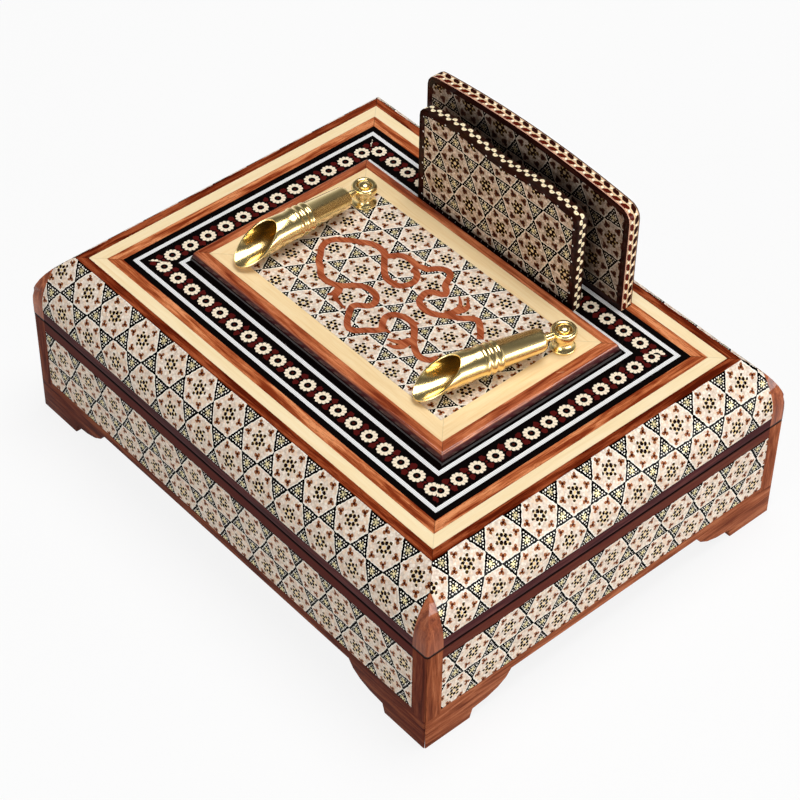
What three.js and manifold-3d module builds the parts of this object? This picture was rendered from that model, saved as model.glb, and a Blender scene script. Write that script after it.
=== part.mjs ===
// Desk box in khatam marquetry with two swivelling brass pen tubes and a two-leaf card rack on its lid.
// Millimetres, +Z up. The origin is on the floor, under the middle of the bounding box.
// X runs along the long side, the front (where the pens point) faces -Y, the lid hinges are at +Y.
import * as THREE from 'three';
import { mergeVertices } from 'three/addons/utils/BufferGeometryUtils.js';
import Module from 'manifold-3d';

const wasm = await Module();
wasm.setup();

// Overall sizes
const WIDTH = 250;            // long side of the footprint
const DEPTH = 193.5;           // short side of the footprint
const BOX_HEIGHT = 53.8;      // floor to the seam under the lid
const LID_RISE = 31.6;        // lid underside to its flat top
const SEAM_GAP = 0.4;         // open line between box and lid
const FIT = 0.1;              // clearance between glued or screwed neighbours
const VENEER = 1.2;           // thickness of every marquetry sheet and band

// Box carcase
const BOARD = 9;              // thickness of the side boards
const TOP_STRIP = 5.5;        // plain wood above the khatam of the box
const STILE = 8;              // plain wood at each side of the khatam of the box
const FIELD_HEIGHT = 30;      // height of the khatam on the box sides
const RAIL_CLEAR = 13.4;      // floor to the underside of the bottom rail
const FOOT_FLAT = 23.5;       // length of a bracket foot that meets the floor
const FOOT_STEP = 4.6;        // height of the small step behind the foot
const FOOT_REACH = 45;        // corner to the end of the bracket's lobe
const PANEL = 4;              // thickness of the bottom panel
const PANEL_RISE = 3;         // bottom rail underside to the bottom panel's underside
const GROOVE = 4;             // depth of the groove that holds the bottom panel
const PANEL_FIT = 0.15;       // play of the bottom panel in its groove

// Lid mould
const LID_STRIP = 5.1;        // plain wood strip at the lid's lower edge
const COVE_START = 6.6;       // height where the lid's side leaves the vertical
const TOP_INSET = 14.4;       // inset of the flat top from the footprint
const LID_WALL = 9;           // wall of the lid at its lower edge
const LID_SHELF = 24;         // inset of the inner edge of the shelf under the top board
const SHELF_DEPTH = 3.6;      // depth of that shelf
const TOP_BOARD_INSET = 20;   // inset of the top board's edge
const TOP_BOARD = 6;          // thickness of the top board
const LEAF_WIDTH = 8.2;       // width of a corner leaf along each side at its base
const LEAF_HEIGHT = 25;       // height of a corner leaf's point over the lid's lower edge
const LEAF_POWER = 2.6;       // how late the leaf's edges draw in

// Bands on the flat top, each from its own outer inset
const ROSEWOOD_BAND = 4;      // width of the dark outer band
const MAPLE_BAND = 5.4;       // width of the pale band
const ORANGE_BAND = 4.7;      // width of the orange-brown band
const BLACK_MARGIN = 2.8;     // black ground outside the outer silver line
const SILVER = 2;             // width of a silver line
const SILVER_DEPTH = 0.6;     // depth of the groove that a silver line lies in
const FLOWER_BAND = 11.5;     // black ground with flowers between the silver lines

// Raised panel under the pens
const PANEL_MARGIN_X = 0.7;   // black ground between the inner silver line and the panel's ends
const PANEL_MARGIN_Y = 1.9;   // black ground between the inner silver line and the panel's long sides
const PANEL_UP = 5.5;         // height over the flat top
const PANEL_EDGE = 1.5;       // how far the moulded edge draws in
const PANEL_WOOD_X = 6;       // orange-brown wood round the maple frame, at the ends
const PANEL_WOOD_Y = 5.5;     // and along the long sides
const PANEL_MAPLE_X = 8.8;    // maple frame of the panel, at the ends
const PANEL_MAPLE_Y = 7.5;    // and along the long sides
const SCROLL_WIDTH = 2.8;     // width of the arabesque scroll
const SCROLL_POINT = 0.6;     // width of its leaves and thorns at the point
const SCROLL_SMOOTH = 0.04;   // its outline is smoothed by this much
const SCROLL_UP = 0.4;        // how far the scroll stands over the khatam

// Card rack
const RACK_FRONT = {
  name: 'front_rack',
  behind: 2.2,                // gap between the raised panel and the front leaf
  thick: 4.6,
  half: 47,                   // half width of the leaf
  border: 3.2,
  corner: 5,
  height: 49.5,               // height of the leaf at its middle dip
  swell: 2.1,                 // how far the two humps stand over the dip
  tenonAt: 2.1,
};
const RACK_REAR = {
  name: 'rear_rack',
  behind: 0.3,                // gap between the outer silver line and the rear leaf
  thick: 5.8,
  half: 59.5,
  border: 3,
  corner: 6,
  height: 55,                 // height of the leaf at its crown
  swell: -4,                  // how far its ends stand over the crown
  tenonAt: 1.7,
};
const EDGING = 1;             // thickness of the strip round a rack leaf
const RACK_VENEER = 0.8;      // thickness of the khatam on a rack leaf
const RACK_SILL = 3;          // plain wood under that khatam
const TENON = 14;             // length of a rack tenon
const TENON_THICK = 2.4;
const TENON_DEPTH = 5.2;      // tenon under the flat top
const TENON_SPAN = 52;        // distance between the two tenons of a rack leaf
const TENON_FIT = 0.15;

// Lid hinges
const HINGE_INSET = 55;       // end of the box to the middle of a hinge
const HINGE_LENGTH = 30;
const HINGE_BODY = 10;        // length of the middle knuckle
const KNUCKLE_GAP = 0.3;
const KNUCKLE = 2.1;          // outer radius of a knuckle
const PIN = 0.8;              // radius of the hinge pin
const PIN_HOLE = 0.9;
const PIN_HEAD = 1.4;
const PLATE = 1;              // thickness of a hinge leaf
const BOX_LEAF = 11;          // height of the hinge leaf on the box under the pin
const LID_LEAF = 6.6;         // height of the hinge leaf on the lid over the pin
const LEAF_CLEAR = 0.4;       // gap between a leaf and the other leaf's knuckles
const SCREW_SPAN = 18;        // distance between the screws of one leaf
const SCREW = 0.8;            // radius of a small screw's shank
const SCREW_HEAD = 1.5;
const SCREW_LENGTH = 7;

// Pen holders: the place of each pivot on the lid, and where its tube points at rest
const PENS = [
  { name: 'left', side: -1, fromEnd: 8, fromBack: 8.2, turn: -1 },
  { name: 'right', side: 1, fromEnd: -0.5, fromBack: 6, turn: -12.5 },
];
const PIVOT_FOOT = 5.3;       // radius of the pedestal's flared foot
const PIVOT_POST = 3.3;       // radius of the pedestal's post
const PIVOT_HEAD = 4.4;       // radius of the pedestal's top flange
const PIVOT_HEIGHT = 6.1;     // height of the pedestal
const EYE = 5.45;             // outer radius of the eye on the tube's neck
const EYE_THICK = 3.5;
const EYE_GAP = 0.3;          // running gap between the pedestal and the eye
const DISH = 3.1;             // radius of the dished seat in the eye
const DISH_DEPTH = 1.5;
const PIVOT_SCREW = 1.2;      // radius of the pivot screw's shank
const PIVOT_SCREW_HEAD = 2.6;
const PIVOT_SCREW_REACH = 10; // depth of the pivot screw under the panel's top
const SCREW_PLAY = 0.2;       // radial play of screws in their holes
const NECK = 1.6;             // radius of the neck
const TUBE_START = 9.6;       // pivot to the tube's rear end
const TUBE_END = 67;          // pivot to the tip of the mouth
const TUBE_REAR = 4.9;        // outer radius at the rear end
const TUBE_MOUTH = 7.75;      // outer radius at the mouth
const TUBE_WALL = 0.8;
const MOUTH_CUT = 20.5;       // length of the slanting cut
const BEADS = [31.2, 34.3, 37.4]; // pivot to each ring bead
const BEAD_RISE = 0.7;
const BEAD_HALF = 1.3;
const TUBE_TILT = 1.2;        // upward tilt of the tube, degrees
const TUBE_FACETS = 24;       // flats round the tube, the eye and the pedestal
const SMALL_FACETS = 12;      // flats round hinge knuckles, pins and screws

// Derived places
const LID_BASE = BOX_HEIGHT + SEAM_GAP;
const PIN_HEIGHT = BOX_HEIGHT + SEAM_GAP / 2;
const PIN_OUT = FIT + KNUCKLE;                  // pin axis behind the back face
const HINGE_PROUD = PIN_OUT + KNUCKLE;
const BAND_BASE = LID_RISE - VENEER;
const RAIL_TOP = BAND_BASE - FIT;
const BOARD_BASE = RAIL_TOP - TOP_BOARD;
const PANEL_TOP = LID_RISE + PANEL_UP;
const ROSEWOOD_INSET = TOP_INSET + FIT;
const MAPLE_INSET = TOP_INSET + ROSEWOOD_BAND;
const ORANGE_INSET = MAPLE_INSET + MAPLE_BAND;
const FLOWER_INSET = ORANGE_INSET + ORANGE_BAND;
const OUTER_SILVER = FLOWER_INSET + BLACK_MARGIN;
const INNER_SILVER = OUTER_SILVER + SILVER + FLOWER_BAND;
const PANEL_X = WIDTH / 2 - INNER_SILVER - SILVER - PANEL_MARGIN_X;
const PANEL_Y = DEPTH / 2 - INNER_SILVER - SILVER - PANEL_MARGIN_Y;
const MAPLE_X = PANEL_X - PANEL_WOOD_X;
const MAPLE_Y = PANEL_Y - PANEL_WOOD_Y;
const FIELD_X = MAPLE_X - PANEL_MAPLE_X;
const FIELD_Y = MAPLE_Y - PANEL_MAPLE_Y;
RACK_FRONT.front = PANEL_Y + RACK_FRONT.behind;
RACK_REAR.front = DEPTH / 2 - OUTER_SILVER + RACK_REAR.behind;
RACK_FRONT.rise = (share) => Math.sin(Math.PI * share) ** 2;
RACK_REAR.rise = (share) => share ** 2;
const FIELD_TOP = BOX_HEIGHT - TOP_STRIP;
const FIELD_BASE = FIELD_TOP - FIELD_HEIGHT;
const BOTTOM_BASE = RAIL_CLEAR + PANEL_RISE;
const EYE_BASE = PIVOT_HEIGHT + EYE_GAP;
const TUBE_HEIGHT = EYE_BASE + EYE_THICK / 2;
const SIDES = [
  { name: 'front', turn: 0, along: WIDTH / 2, across: DEPTH / 2 },
  { name: 'right', turn: 1, along: DEPTH / 2, across: WIDTH / 2 },
  { name: 'back', turn: 2, along: WIDTH / 2, across: DEPTH / 2 },
  { name: 'left', turn: 3, along: DEPTH / 2, across: WIDTH / 2 },
];

// Finishes
const finish = (color, roughness, metalness = 0) =>
  new THREE.MeshStandardMaterial({ color, roughness, metalness });
const ROSEWOOD = finish(0x7a3a22, 0.3);
const STRIP_WOOD = finish(0x5e2c24, 0.3);
const ORANGE_WOOD = finish(0xb5622e, 0.3);
const MAPLE = finish(0xf0d0a0, 0.3);
const KHATAM = finish(0xc9bcae, 0.35);
const BLACK = finish(0x140d0c, 0.25);
const SILVER_WHITE = finish(0xe8e8ea, 0.25, 0.3);
const PLAIN_WOOD = finish(0xc79a66, 0.6);
const CHECKED = finish(0xe2c09a, 0.35);
const BRASS = finish(0xd9b25a, 0.2, 1);

// Geometry helpers
function outward(geometry) {
  const flat = geometry.index ? geometry.toNonIndexed() : geometry;
  const p = flat.attributes.position;
  const [a, b, c] = [new THREE.Vector3(), new THREE.Vector3(), new THREE.Vector3()];
  let volume = 0;
  for (let i = 0; i < p.count; i += 3) {
    a.fromBufferAttribute(p, i);
    b.fromBufferAttribute(p, i + 1);
    c.fromBufferAttribute(p, i + 2);
    volume += a.dot(b.cross(c));
  }
  if (volume > 0) return flat;
  for (let i = 0; i < p.count; i += 3) {
    b.fromBufferAttribute(p, i + 1);
    c.fromBufferAttribute(p, i + 2);
    p.setXYZ(i + 1, c.x, c.y, c.z);
    p.setXYZ(i + 2, b.x, b.y, b.z);
  }
  return flat;
}

function solid(geometry) {
  const bare = geometry.clone();
  bare.deleteAttribute('normal');
  bare.deleteAttribute('uv');
  const merged = mergeVertices(bare, 1e-4);
  const index = merged.index.array;
  const kept = [];
  for (let i = 0; i < index.length; i += 3) {
    const [a, b, c] = [index[i], index[i + 1], index[i + 2]];
    if (a !== b && b !== c && c !== a) kept.push(a, b, c);
  }
  return new wasm.Manifold(new wasm.Mesh({
    numProp: 3,
    vertProperties: new Float32Array(merged.attributes.position.array),
    triVerts: new Uint32Array(kept),
  }));
}

function geometryOf(manifold) {
  const mesh = manifold.getMesh();
  const geometry = new THREE.BufferGeometry();
  geometry.setAttribute('position', new THREE.BufferAttribute(new Float32Array(mesh.vertProperties), 3));
  geometry.setIndex(new THREE.BufferAttribute(new Uint32Array(mesh.triVerts), 1));
  const flat = geometry.toNonIndexed();
  flat.computeVertexNormals();
  return flat;
}

const cut = (body, ...tools) => geometryOf(tools.reduce((rest, tool) => rest.subtract(solid(tool)), solid(body)));
const join = (...bodies) => geometryOf(bodies.map(solid).reduce((sum, body) => sum.add(body)));

function block(x0, x1, y0, y1, z0, z1) {
  const box = new THREE.BoxGeometry(x1 - x0, y1 - y0, z1 - z0);
  return box.translate((x0 + x1) / 2, (y0 + y1) / 2, (z0 + z1) / 2);
}

// Rings of points joined in order; the first and last ring are closed by the cap's triangles
function loft(rings, cap) {
  const size = rings[0].length;
  const triangles = cap ?? Array.from({ length: size - 2 }, (_, i) => [0, i + 1, i + 2]);
  const points = [];
  const add = (...corners) => corners.forEach((corner) => points.push(...corner));
  for (let k = 0; k + 1 < rings.length; k += 1) {
    for (let i = 0; i < size; i += 1) {
      const j = (i + 1) % size;
      const [lower, upper] = [rings[k], rings[k + 1]];
      add(lower[i], lower[j], upper[j]);
      add(lower[i], upper[j], upper[i]);
    }
  }
  for (const [a, b, c] of triangles) {
    add(rings[0][a], rings[0][c], rings[0][b]);
    const last = rings[rings.length - 1];
    add(last[a], last[b], last[c]);
  }
  const geometry = new THREE.BufferGeometry();
  geometry.setAttribute('position', new THREE.Float32BufferAttribute(points, 3));
  const closed = outward(geometry);
  closed.computeVertexNormals();
  return closed;
}

function capOf(outline) {
  const points = outline.map(([u, v]) => new THREE.Vector2(u, v));
  const triangles = THREE.ShapeUtils.triangulateShape(points, []);
  return THREE.ShapeUtils.isClockWise(points) ? triangles.map(([a, b, c]) => [a, c, b]) : triangles;
}

// Flat rectangular ring lying between two heights
function ring(outerX, outerY, innerX, innerY, low, high) {
  const shape = new THREE.Shape();
  shape.moveTo(-outerX, -outerY).lineTo(outerX, -outerY).lineTo(outerX, outerY).lineTo(-outerX, outerY);
  const hole = new THREE.Path();
  hole.moveTo(-innerX, -innerY).lineTo(-innerX, innerY).lineTo(innerX, innerY).lineTo(innerX, -innerY);
  shape.holes.push(hole);
  return new THREE.ExtrudeGeometry(shape, { depth: high - low, bevelEnabled: false }).translate(0, 0, low);
}

function band(outerInset, innerInset, low, high) {
  const [x, y] = [WIDTH / 2, DEPTH / 2];
  return ring(x - outerInset, y - outerInset, x - innerInset, y - innerInset, low, high);
}

function lathe(profile, segments) {
  const points = profile.map(([radius, height]) => new THREE.Vector2(radius, height));
  return outward(new THREE.LatheGeometry(points, segments).rotateX(Math.PI / 2));
}

const rod = (radius, low, high, segments = SMALL_FACETS) =>
  lathe([[0, low], [radius, low], [radius, high], [0, high]], segments);

const turned = (geometry, side) => geometry.rotateZ((side.turn * Math.PI) / 2);

function piece(parent, name, geometry, material) {
  const mesh = new THREE.Mesh(geometry, material);
  mesh.name = name;
  parent.add(mesh);
  return mesh;
}

// Box: four mitred boards with bracket feet, their khatam sheets and the bottom panel
function boardOutline(along) {
  const half = [];
  half.push([along, BOX_HEIGHT], [along, 0], [along - FOOT_FLAT, 0], [along - FOOT_FLAT - 1.4, FOOT_STEP]);
  const lobe = new THREE.QuadraticBezierCurve(
    new THREE.Vector2(along - FOOT_FLAT - 1.4, FOOT_STEP),
    new THREE.Vector2(along - FOOT_REACH + 4, FOOT_STEP + 0.8),
    new THREE.Vector2(along - FOOT_REACH, RAIL_CLEAR),
  );
  lobe.getPoints(4).slice(1).forEach((p) => half.push([p.x, p.y]));
  const mirrored = half.map(([u, z]) => [-u, z]).reverse();
  return [...half, ...mirrored];
}

function boxBoard(side) {
  const outline = boardOutline(side.along - FIT);
  const end = side.along - FIT;
  const outer = outline.map(([u, z]) => [u, -side.across, z]);
  const inner = outline.map(([u, z]) => {
    const atEnd = Math.abs(u) > end - 1e-6;
    return [atEnd ? Math.sign(u) * (end - BOARD) : u, -side.across + BOARD, z];
  });
  const field = side.along - STILE;
  const pocket = block(-field, field, -side.across - 1, -side.across + VENEER, FIELD_BASE, FIELD_TOP);
  const groove = block(-side.along + BOARD - GROOVE, side.along - BOARD + GROOVE,
    -side.across + BOARD - GROOVE, 0, BOTTOM_BASE - PANEL_FIT, BOTTOM_BASE + PANEL + PANEL_FIT);
  const tools = [pocket, groove];
  if (side.name === 'back') tools.push(...screwHoles(HINGE_BOX_SCREW, -side.across));
  return turned(cut(loft([outer, inner], capOf(outline)), ...tools), side);
}

function boxKhatam(side) {
  const field = side.along - STILE - FIT;
  const face = -side.across;
  const sheet = block(-field, field, face, face + VENEER - FIT, FIELD_BASE + FIT, FIELD_TOP - FIT);
  const holes = side.name === 'back' ? screwHoles(HINGE_BOX_SCREW, face) : [];
  return turned(cut(sheet, ...holes), side);
}

function bottomPanel() {
  const x = WIDTH / 2 - BOARD + GROOVE - PANEL_FIT;
  const y = DEPTH / 2 - BOARD + GROOVE - PANEL_FIT;
  return block(-x, x, -y, y, BOTTOM_BASE, BOTTOM_BASE + PANEL);
}

// Lid: a cushion mould whose side draws in as a parabola above COVE_START
function cove(z) {
  return z <= COVE_START ? 0 : TOP_INSET * ((z - COVE_START) / (LID_RISE - COVE_START)) ** 2;
}

function coveUnder(z) {
  const slope = z <= COVE_START ? 0 : (2 * TOP_INSET * (z - COVE_START)) / (LID_RISE - COVE_START) ** 2;
  return cove(z) + VENEER * Math.hypot(1, slope);
}

function leafWidth(z) {
  return z >= LEAF_HEIGHT ? 0 : LEAF_WIDTH * (1 - (z / LEAF_HEIGHT) ** LEAF_POWER);
}

function levels(low, high, count) {
  return Array.from({ length: count + 1 }, (_, i) => low + ((high - low) * i) / count);
}

function lidRail(side, leaves) {
  const under = levels(LID_STRIP, RAIL_TOP, 7).map((z) => [coveUnder(z) + FIT, z]);
  const profile = [[0, 0], [0, LID_STRIP], ...under,
    [TOP_BOARD_INSET - FIT, RAIL_TOP], [TOP_BOARD_INSET - FIT, BOARD_BASE - FIT],
    [LID_SHELF, BOARD_BASE - FIT], [LID_SHELF, BOARD_BASE - SHELF_DEPTH], [LID_WALL, LID_WALL], [LID_WALL, 0]];
  const end = (sign) => profile.map(([inset, z]) => [sign * (side.along - inset - FIT), inset - side.across, z]);
  const tools = [...leaves];
  if (side.name === 'back') tools.push(...screwHoles(HINGE_LID_SCREW, -side.across));
  const body = turned(loft([end(-1), end(1)], capOf(profile)), side);
  const holes = tools.map((tool, i) => (i < leaves.length ? tool : turned(tool, side)));
  return cut(body, ...holes);
}

function lidKhatam(side) {
  const rings = levels(LID_STRIP + FIT, LID_RISE - 0.3, 8).map((z) => {
    const outer = cove(z);
    const inner = Math.min(coveUnder(z), TOP_INSET);
    const leafEnd = leafWidth(z) > 0 ? outer + leafWidth(z) : 0;
    const reach = (inset) => side.along - Math.max(inset, leafEnd) - FIT;
    return [[-reach(outer), outer - side.across, z], [reach(outer), outer - side.across, z],
      [reach(inner), inner - side.across, z], [-reach(inner), inner - side.across, z]];
  });
  const holes = side.name === 'back' ? screwHoles(HINGE_LID_SCREW, -side.across) : [];
  return turned(cut(loft(rings), ...holes), side);
}

// A corner leaf lies flush in the mould; a grown copy cuts its bed in the rails
function cornerLeaf(signX, signY, grow) {
  const low = grow > 0 ? -1 : 0;
  const rings = levels(low, LEAF_HEIGHT - 0.6 + grow, 8).map((z) => {
    const height = Math.max(z, 0);
    const outer = cove(height) - (grow > 0 ? 1 : 0);
    const wing = cove(height) + Math.max(leafWidth(height), 0.3) + grow;
    const depth = Math.min(coveUnder(height) + grow, cove(height) + (wing - cove(height)) * 0.6);
    const corners = [[outer, outer], [wing, outer], [wing, depth], [depth, depth], [depth, wing], [outer, wing]];
    return corners.map(([a, b]) => [signX * (WIDTH / 2 - a), signY * (DEPTH / 2 - b), z]);
  });
  return loft(rings, [[0, 1, 2], [0, 2, 3], [0, 3, 4], [0, 4, 5]]);
}

function lidTopBoard(mortises, pilots) {
  const [x, y] = [WIDTH / 2 - TOP_BOARD_INSET, DEPTH / 2 - TOP_BOARD_INSET];
  return cut(block(-x, x, -y, y, BOARD_BASE, RAIL_TOP), ...mortises, ...pilots);
}

function flowerBorder(mortises) {
  const [x, y] = [WIDTH / 2 - FLOWER_INSET - FIT, DEPTH / 2 - FLOWER_INSET - FIT];
  const ground = ring(x, y, PANEL_X + FIT, PANEL_Y + FIT, BAND_BASE, LID_RISE);
  const grooves = [OUTER_SILVER, INNER_SILVER].map((inset) =>
    band(inset, inset + SILVER, LID_RISE - SILVER_DEPTH, LID_RISE + 1));
  return cut(ground, ...grooves, ...mortises);
}

const silverLine = (inset) => band(inset + FIT, inset + SILVER - FIT, LID_RISE - SILVER_DEPTH, LID_RISE);

// Raised panel: moulded edge, pocket for the maple frame and the khatam, pilot holes for the pivots
function raisedPanel(pilots) {
  const edge = [[0, RAIL_TOP + FIT], [0, LID_RISE + 1.2], [0.5, LID_RISE + 2.8], [1.1, LID_RISE + 4.5],
    [PANEL_EDGE, PANEL_TOP]];
  const rings = edge.map(([inset, z]) => {
    const [x, y] = [PANEL_X - inset, PANEL_Y - inset];
    return [[-x, -y, z], [x, -y, z], [x, y, z], [-x, y, z]];
  });
  const pocket = block(-MAPLE_X, MAPLE_X, -MAPLE_Y, MAPLE_Y, PANEL_TOP - VENEER, PANEL_TOP + 1);
  return cut(loft(rings), pocket, ...pilots);
}

// Arabesque scroll: the centre line of each stroke, in millimetres from the middle of the panel
const SCROLL = [
  [[-23, 11.5], [-26.5, 12.5], [-30.5, 12.5], [-34, 11], [-36.5, 9], [-39.5, 7], [-42, 4.5], [-44.5, 2],
    [-45.5, -1.5], [-44, -5.5], [-41, -8.5], [-38.5, -11.5], [-35, -13.5], [-32, -16], [-28, -17], [-23.5, -16],
    [-20.5, -14], [-18, -10.5], [-15, -8], [-11.5, -7], [-7.5, -7.5], [-5, -9.5], [-4, -12.5], [-5.5, -15], [-8, -17],
    [-8.5, -19.5], [-6, -23], [-3, -26.5], [0.5, -28.5], [3.5, -27], [5.5, -24], [8, -21.5], [9.5, -19]],
  [[9.5, -19], [7, -16.5], [5, -13.5], [5, -11], [6.5, -9], [9.5, -7.5], [13.5, -7], [17, -8.5], [20.5, -11.5],
    [23.5, -14.5], [27.5, -17], [31, -18], [34, -17], [35.5, -15.5], [36, -13]],
  [[-24, 11.5], [-19.5, 7.5], [-16, 4.5], [-12.5, 2.5], [-8.5, 2.5], [-5.5, 3.5], [-4, 6], [-3.5, 9.5], [-5.5, 13],
    [-8.5, 14.5], [-10, 14]],
  [[-23, 11], [-21.5, 13], [-20, 15.5], [-17.5, 17], [-13.5, 17.5], [-10.5, 17], [-8, 18], [-5.5, 19], [-4, 21.5],
    [-2, 23.5], [1, 24.5], [3.5, 23], [5, 20], [6.5, 17.5], [9, 16], [10.5, 14], [8.5, 12.5], [6.5, 11.5],
    [4.5, 9.5], [5, 6.5], [6.5, 3.5], [10, 2], [13.5, 2], [16.5, 3], [19, 5], [21.5, 7], [24, 8.5], [26.5, 11],
    [28.5, 13], [31, 13.5], [34, 11.5], [36.5, 9.5], [39, 7]],
];
// Leaves that taper away from the scroll, and its small thorns, each from the root to the point
const SCROLL_LEAVES = [
  [[-22, -14.5], [-19, -17.5], [-17.5, -20.5], [-14, -21.5], [-9.5, -22]],
  [[-19.5, -17], [-19.5, -20], [-20.5, -22]],
  [[22.5, -13.5], [21, -16], [19.5, -18.5], [17, -20], [15, -21]],
  [[21.5, -15.5], [22, -19.5], [20, -22], [17.5, -23]],
  [[20, 6], [20.5, 9.5], [20, 13], [18, 15.5], [15, 17.5]],
  [[20.5, 10.5], [22, 14], [21.5, 16.5], [18, 19]],
];
const SCROLL_THORNS = [[[13, -7.5], [16.5, -5.5]], [[9, -20], [11, -18], [13, -17.5]], [[-9, 3.5], [-6, 1]]];

// Outline of a stroke along its centre line, from its first width to the width at its tip
function stroke(points, width, tip) {
  const curve = new THREE.CatmullRomCurve3(points.map(([x, y]) => new THREE.Vector3(x, y, 0)), false, 'centripetal');
  const sides = levels(0, 1, (points.length - 1) * 2).map((t) => {
    const at = curve.getPoint(t);
    const way = curve.getTangent(t);
    const half = (width + (tip - width) * t) / 2;
    return [[at.x - way.y * half, at.y + way.x * half], [at.x + way.y * half, at.y - way.x * half]];
  });
  return [...sides.map(([left]) => left), ...sides.map(([, right]) => right).reverse()];
}

function arabesque() {
  const strokes = SCROLL.map((points) => stroke(points, SCROLL_WIDTH, SCROLL_WIDTH));
  const leaves = SCROLL_LEAVES.map((points) => stroke(points, SCROLL_WIDTH * 1.4, SCROLL_POINT));
  const thorns = SCROLL_THORNS.map((points) => stroke(points, SCROLL_WIDTH * 0.9, SCROLL_POINT));
  const outlines = [...strokes, ...leaves, ...thorns].map((outline) => new wasm.CrossSection([outline], 'NonZero'));
  const flat = outlines.reduce((sum, outline) => sum.add(outline)).simplify(SCROLL_SMOOTH);
  const loops = flat.toPolygons().map((loop) => loop.map(([x, y]) => new THREE.Vector2(x, y)));
  const outer = loops.reduce((a, b) => (THREE.ShapeUtils.area(b) > THREE.ShapeUtils.area(a) ? b : a));
  const shape = new THREE.Shape(outer);
  loops.filter((loop) => loop !== outer).forEach((loop) => shape.holes.push(new THREE.Path(loop)));
  return new THREE.ExtrudeGeometry(shape, { depth: SCROLL_UP, bevelEnabled: false }).translate(0, 0, PANEL_TOP);
}

// Rack leaf outline, drawn in by an inset, from its lower left corner round to its lower right
function rackOutline(rack, inset, low) {
  const half = rack.half - inset;
  const corner = rack.corner - inset;
  const top = (x) => rack.height + rack.swell * rack.rise(x / rack.half) - inset;
  const shoulder = top(half - corner);
  const arc = (centre, from) => levels(from, from - Math.PI / 2, 4).map((angle) =>
    [centre + corner * Math.cos(angle), shoulder - corner + corner * Math.sin(angle)]);
  const crest = levels(-half + corner, half - corner, 16).slice(1, -1).map((x) => [x, top(x)]);
  return [[-half, low], ...arc(-half + corner, Math.PI), ...crest, ...arc(half - corner, Math.PI / 2), [half, low]];
}

function upright(outline, front, back) {
  const shape = new THREE.Shape(outline.map(([x, z]) => new THREE.Vector2(x, z)));
  const slab = new THREE.ExtrudeGeometry(shape, { depth: back - front, bevelEnabled: false });
  return slab.rotateX(Math.PI / 2).translate(0, back, 0);
}

function tenons(rack, play, depth) {
  const front = rack.front + rack.tenonAt - play;
  return [-1, 1].map((side) => {
    const middle = (side * TENON_SPAN) / 2;
    const [left, right] = [middle - TENON / 2 - play, middle + TENON / 2 + play];
    return block(left, right, front, front + TENON_THICK + 2 * play, LID_RISE - depth, LID_RISE + 2);
  });
}

function rackBoard(rack) {
  const outline = rackOutline(rack, EDGING + FIT, 0).map(([x, z]) => [x, z + LID_RISE + FIT]);
  const slab = upright(outline, rack.front, rack.front + rack.thick);
  const bed = (front, back) => upright(rackField(rack, 0), front, back);
  const beds = [bed(rack.front - 1, rack.front + RACK_VENEER)];
  if (rack === RACK_REAR) beds.push(bed(rack.front + rack.thick - RACK_VENEER, rack.front + rack.thick + 1));
  return cut(join(slab, ...tenons(rack, 0, TENON_DEPTH)), ...beds);
}

function rackField(rack, inset) {
  const outline = rackOutline(rack, rack.border + inset, RACK_SILL + inset);
  return outline.map(([x, z]) => [x, z + LID_RISE + FIT]);
}

const rackKhatam = (rack, front) => upright(rackField(rack, FIT), front, front + RACK_VENEER - FIT);

function rackEdging(rack) {
  const outer = rackOutline(rack, 0, 0);
  const inner = rackOutline(rack, EDGING, 0).reverse();
  const outline = [...outer, ...inner].map(([x, z]) => [x, z + LID_RISE + FIT]);
  return upright(outline, rack.front, rack.front + rack.thick);
}

// Hinges: the leaf of the box carries the two outer knuckles, the leaf of the lid the middle one
const HINGE_BOX_SCREW = PIN_HEIGHT - BOX_LEAF + 3.4;
const HINGE_LID_SCREW = LID_LEAF - 2 + SEAM_GAP / 2 - SEAM_GAP;

function screwPlaces() {
  return [-1, 1].flatMap((hinge) => [-1, 1].map((screw) =>
    ({ hinge, x: hinge * (WIDTH / 2 - HINGE_INSET) + (screw * SCREW_SPAN) / 2 })));
}

// Pilot holes along +Y from a board's outer face
function screwHoles(height, face) {
  return screwPlaces().map(({ x }) =>
    rod(SCREW + SCREW_PLAY, -1, SCREW_LENGTH).rotateX(-Math.PI / 2).translate(x, face, height));
}

// Leaf in hinge coordinates: pin along X through the origin, plate towards the given side of it
function hingeLeaf(up, reach, spans, screwAt) {
  const plateFront = -KNUCKLE;
  const clear = KNUCKLE + LEAF_CLEAR;
  const plate = block(-HINGE_LENGTH / 2, HINGE_LENGTH / 2, plateFront, plateFront + PLATE,
    Math.min(up * clear, up * reach), Math.max(up * clear, up * reach));
  const knuckles = spans.flatMap(([from, to]) => {
    const barrel = rod(KNUCKLE, from, to).rotateY(Math.PI / 2);
    const tongue = block(from, to, plateFront, plateFront + PLATE, Math.min(0, up * (clear + 0.2)),
      Math.max(0, up * (clear + 0.2)));
    return [barrel, tongue];
  });
  const bore = rod(PIN_HOLE, -HINGE_LENGTH, HINGE_LENGTH).rotateY(Math.PI / 2);
  const holes = [-1, 1].map((side) => {
    const profile = [[0, -1], [SCREW + SCREW_PLAY, -1], [SCREW + SCREW_PLAY, PLATE - 0.7],
      [SCREW_HEAD + SCREW_PLAY, PLATE + 0.05], [SCREW_HEAD + SCREW_PLAY, PLATE + 1], [0, PLATE + 1]];
    return lathe(profile, SMALL_FACETS).rotateX(-Math.PI / 2).translate((side * SCREW_SPAN) / 2, plateFront, screwAt);
  });
  return cut(join(plate, ...knuckles), bore, ...holes);
}

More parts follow.
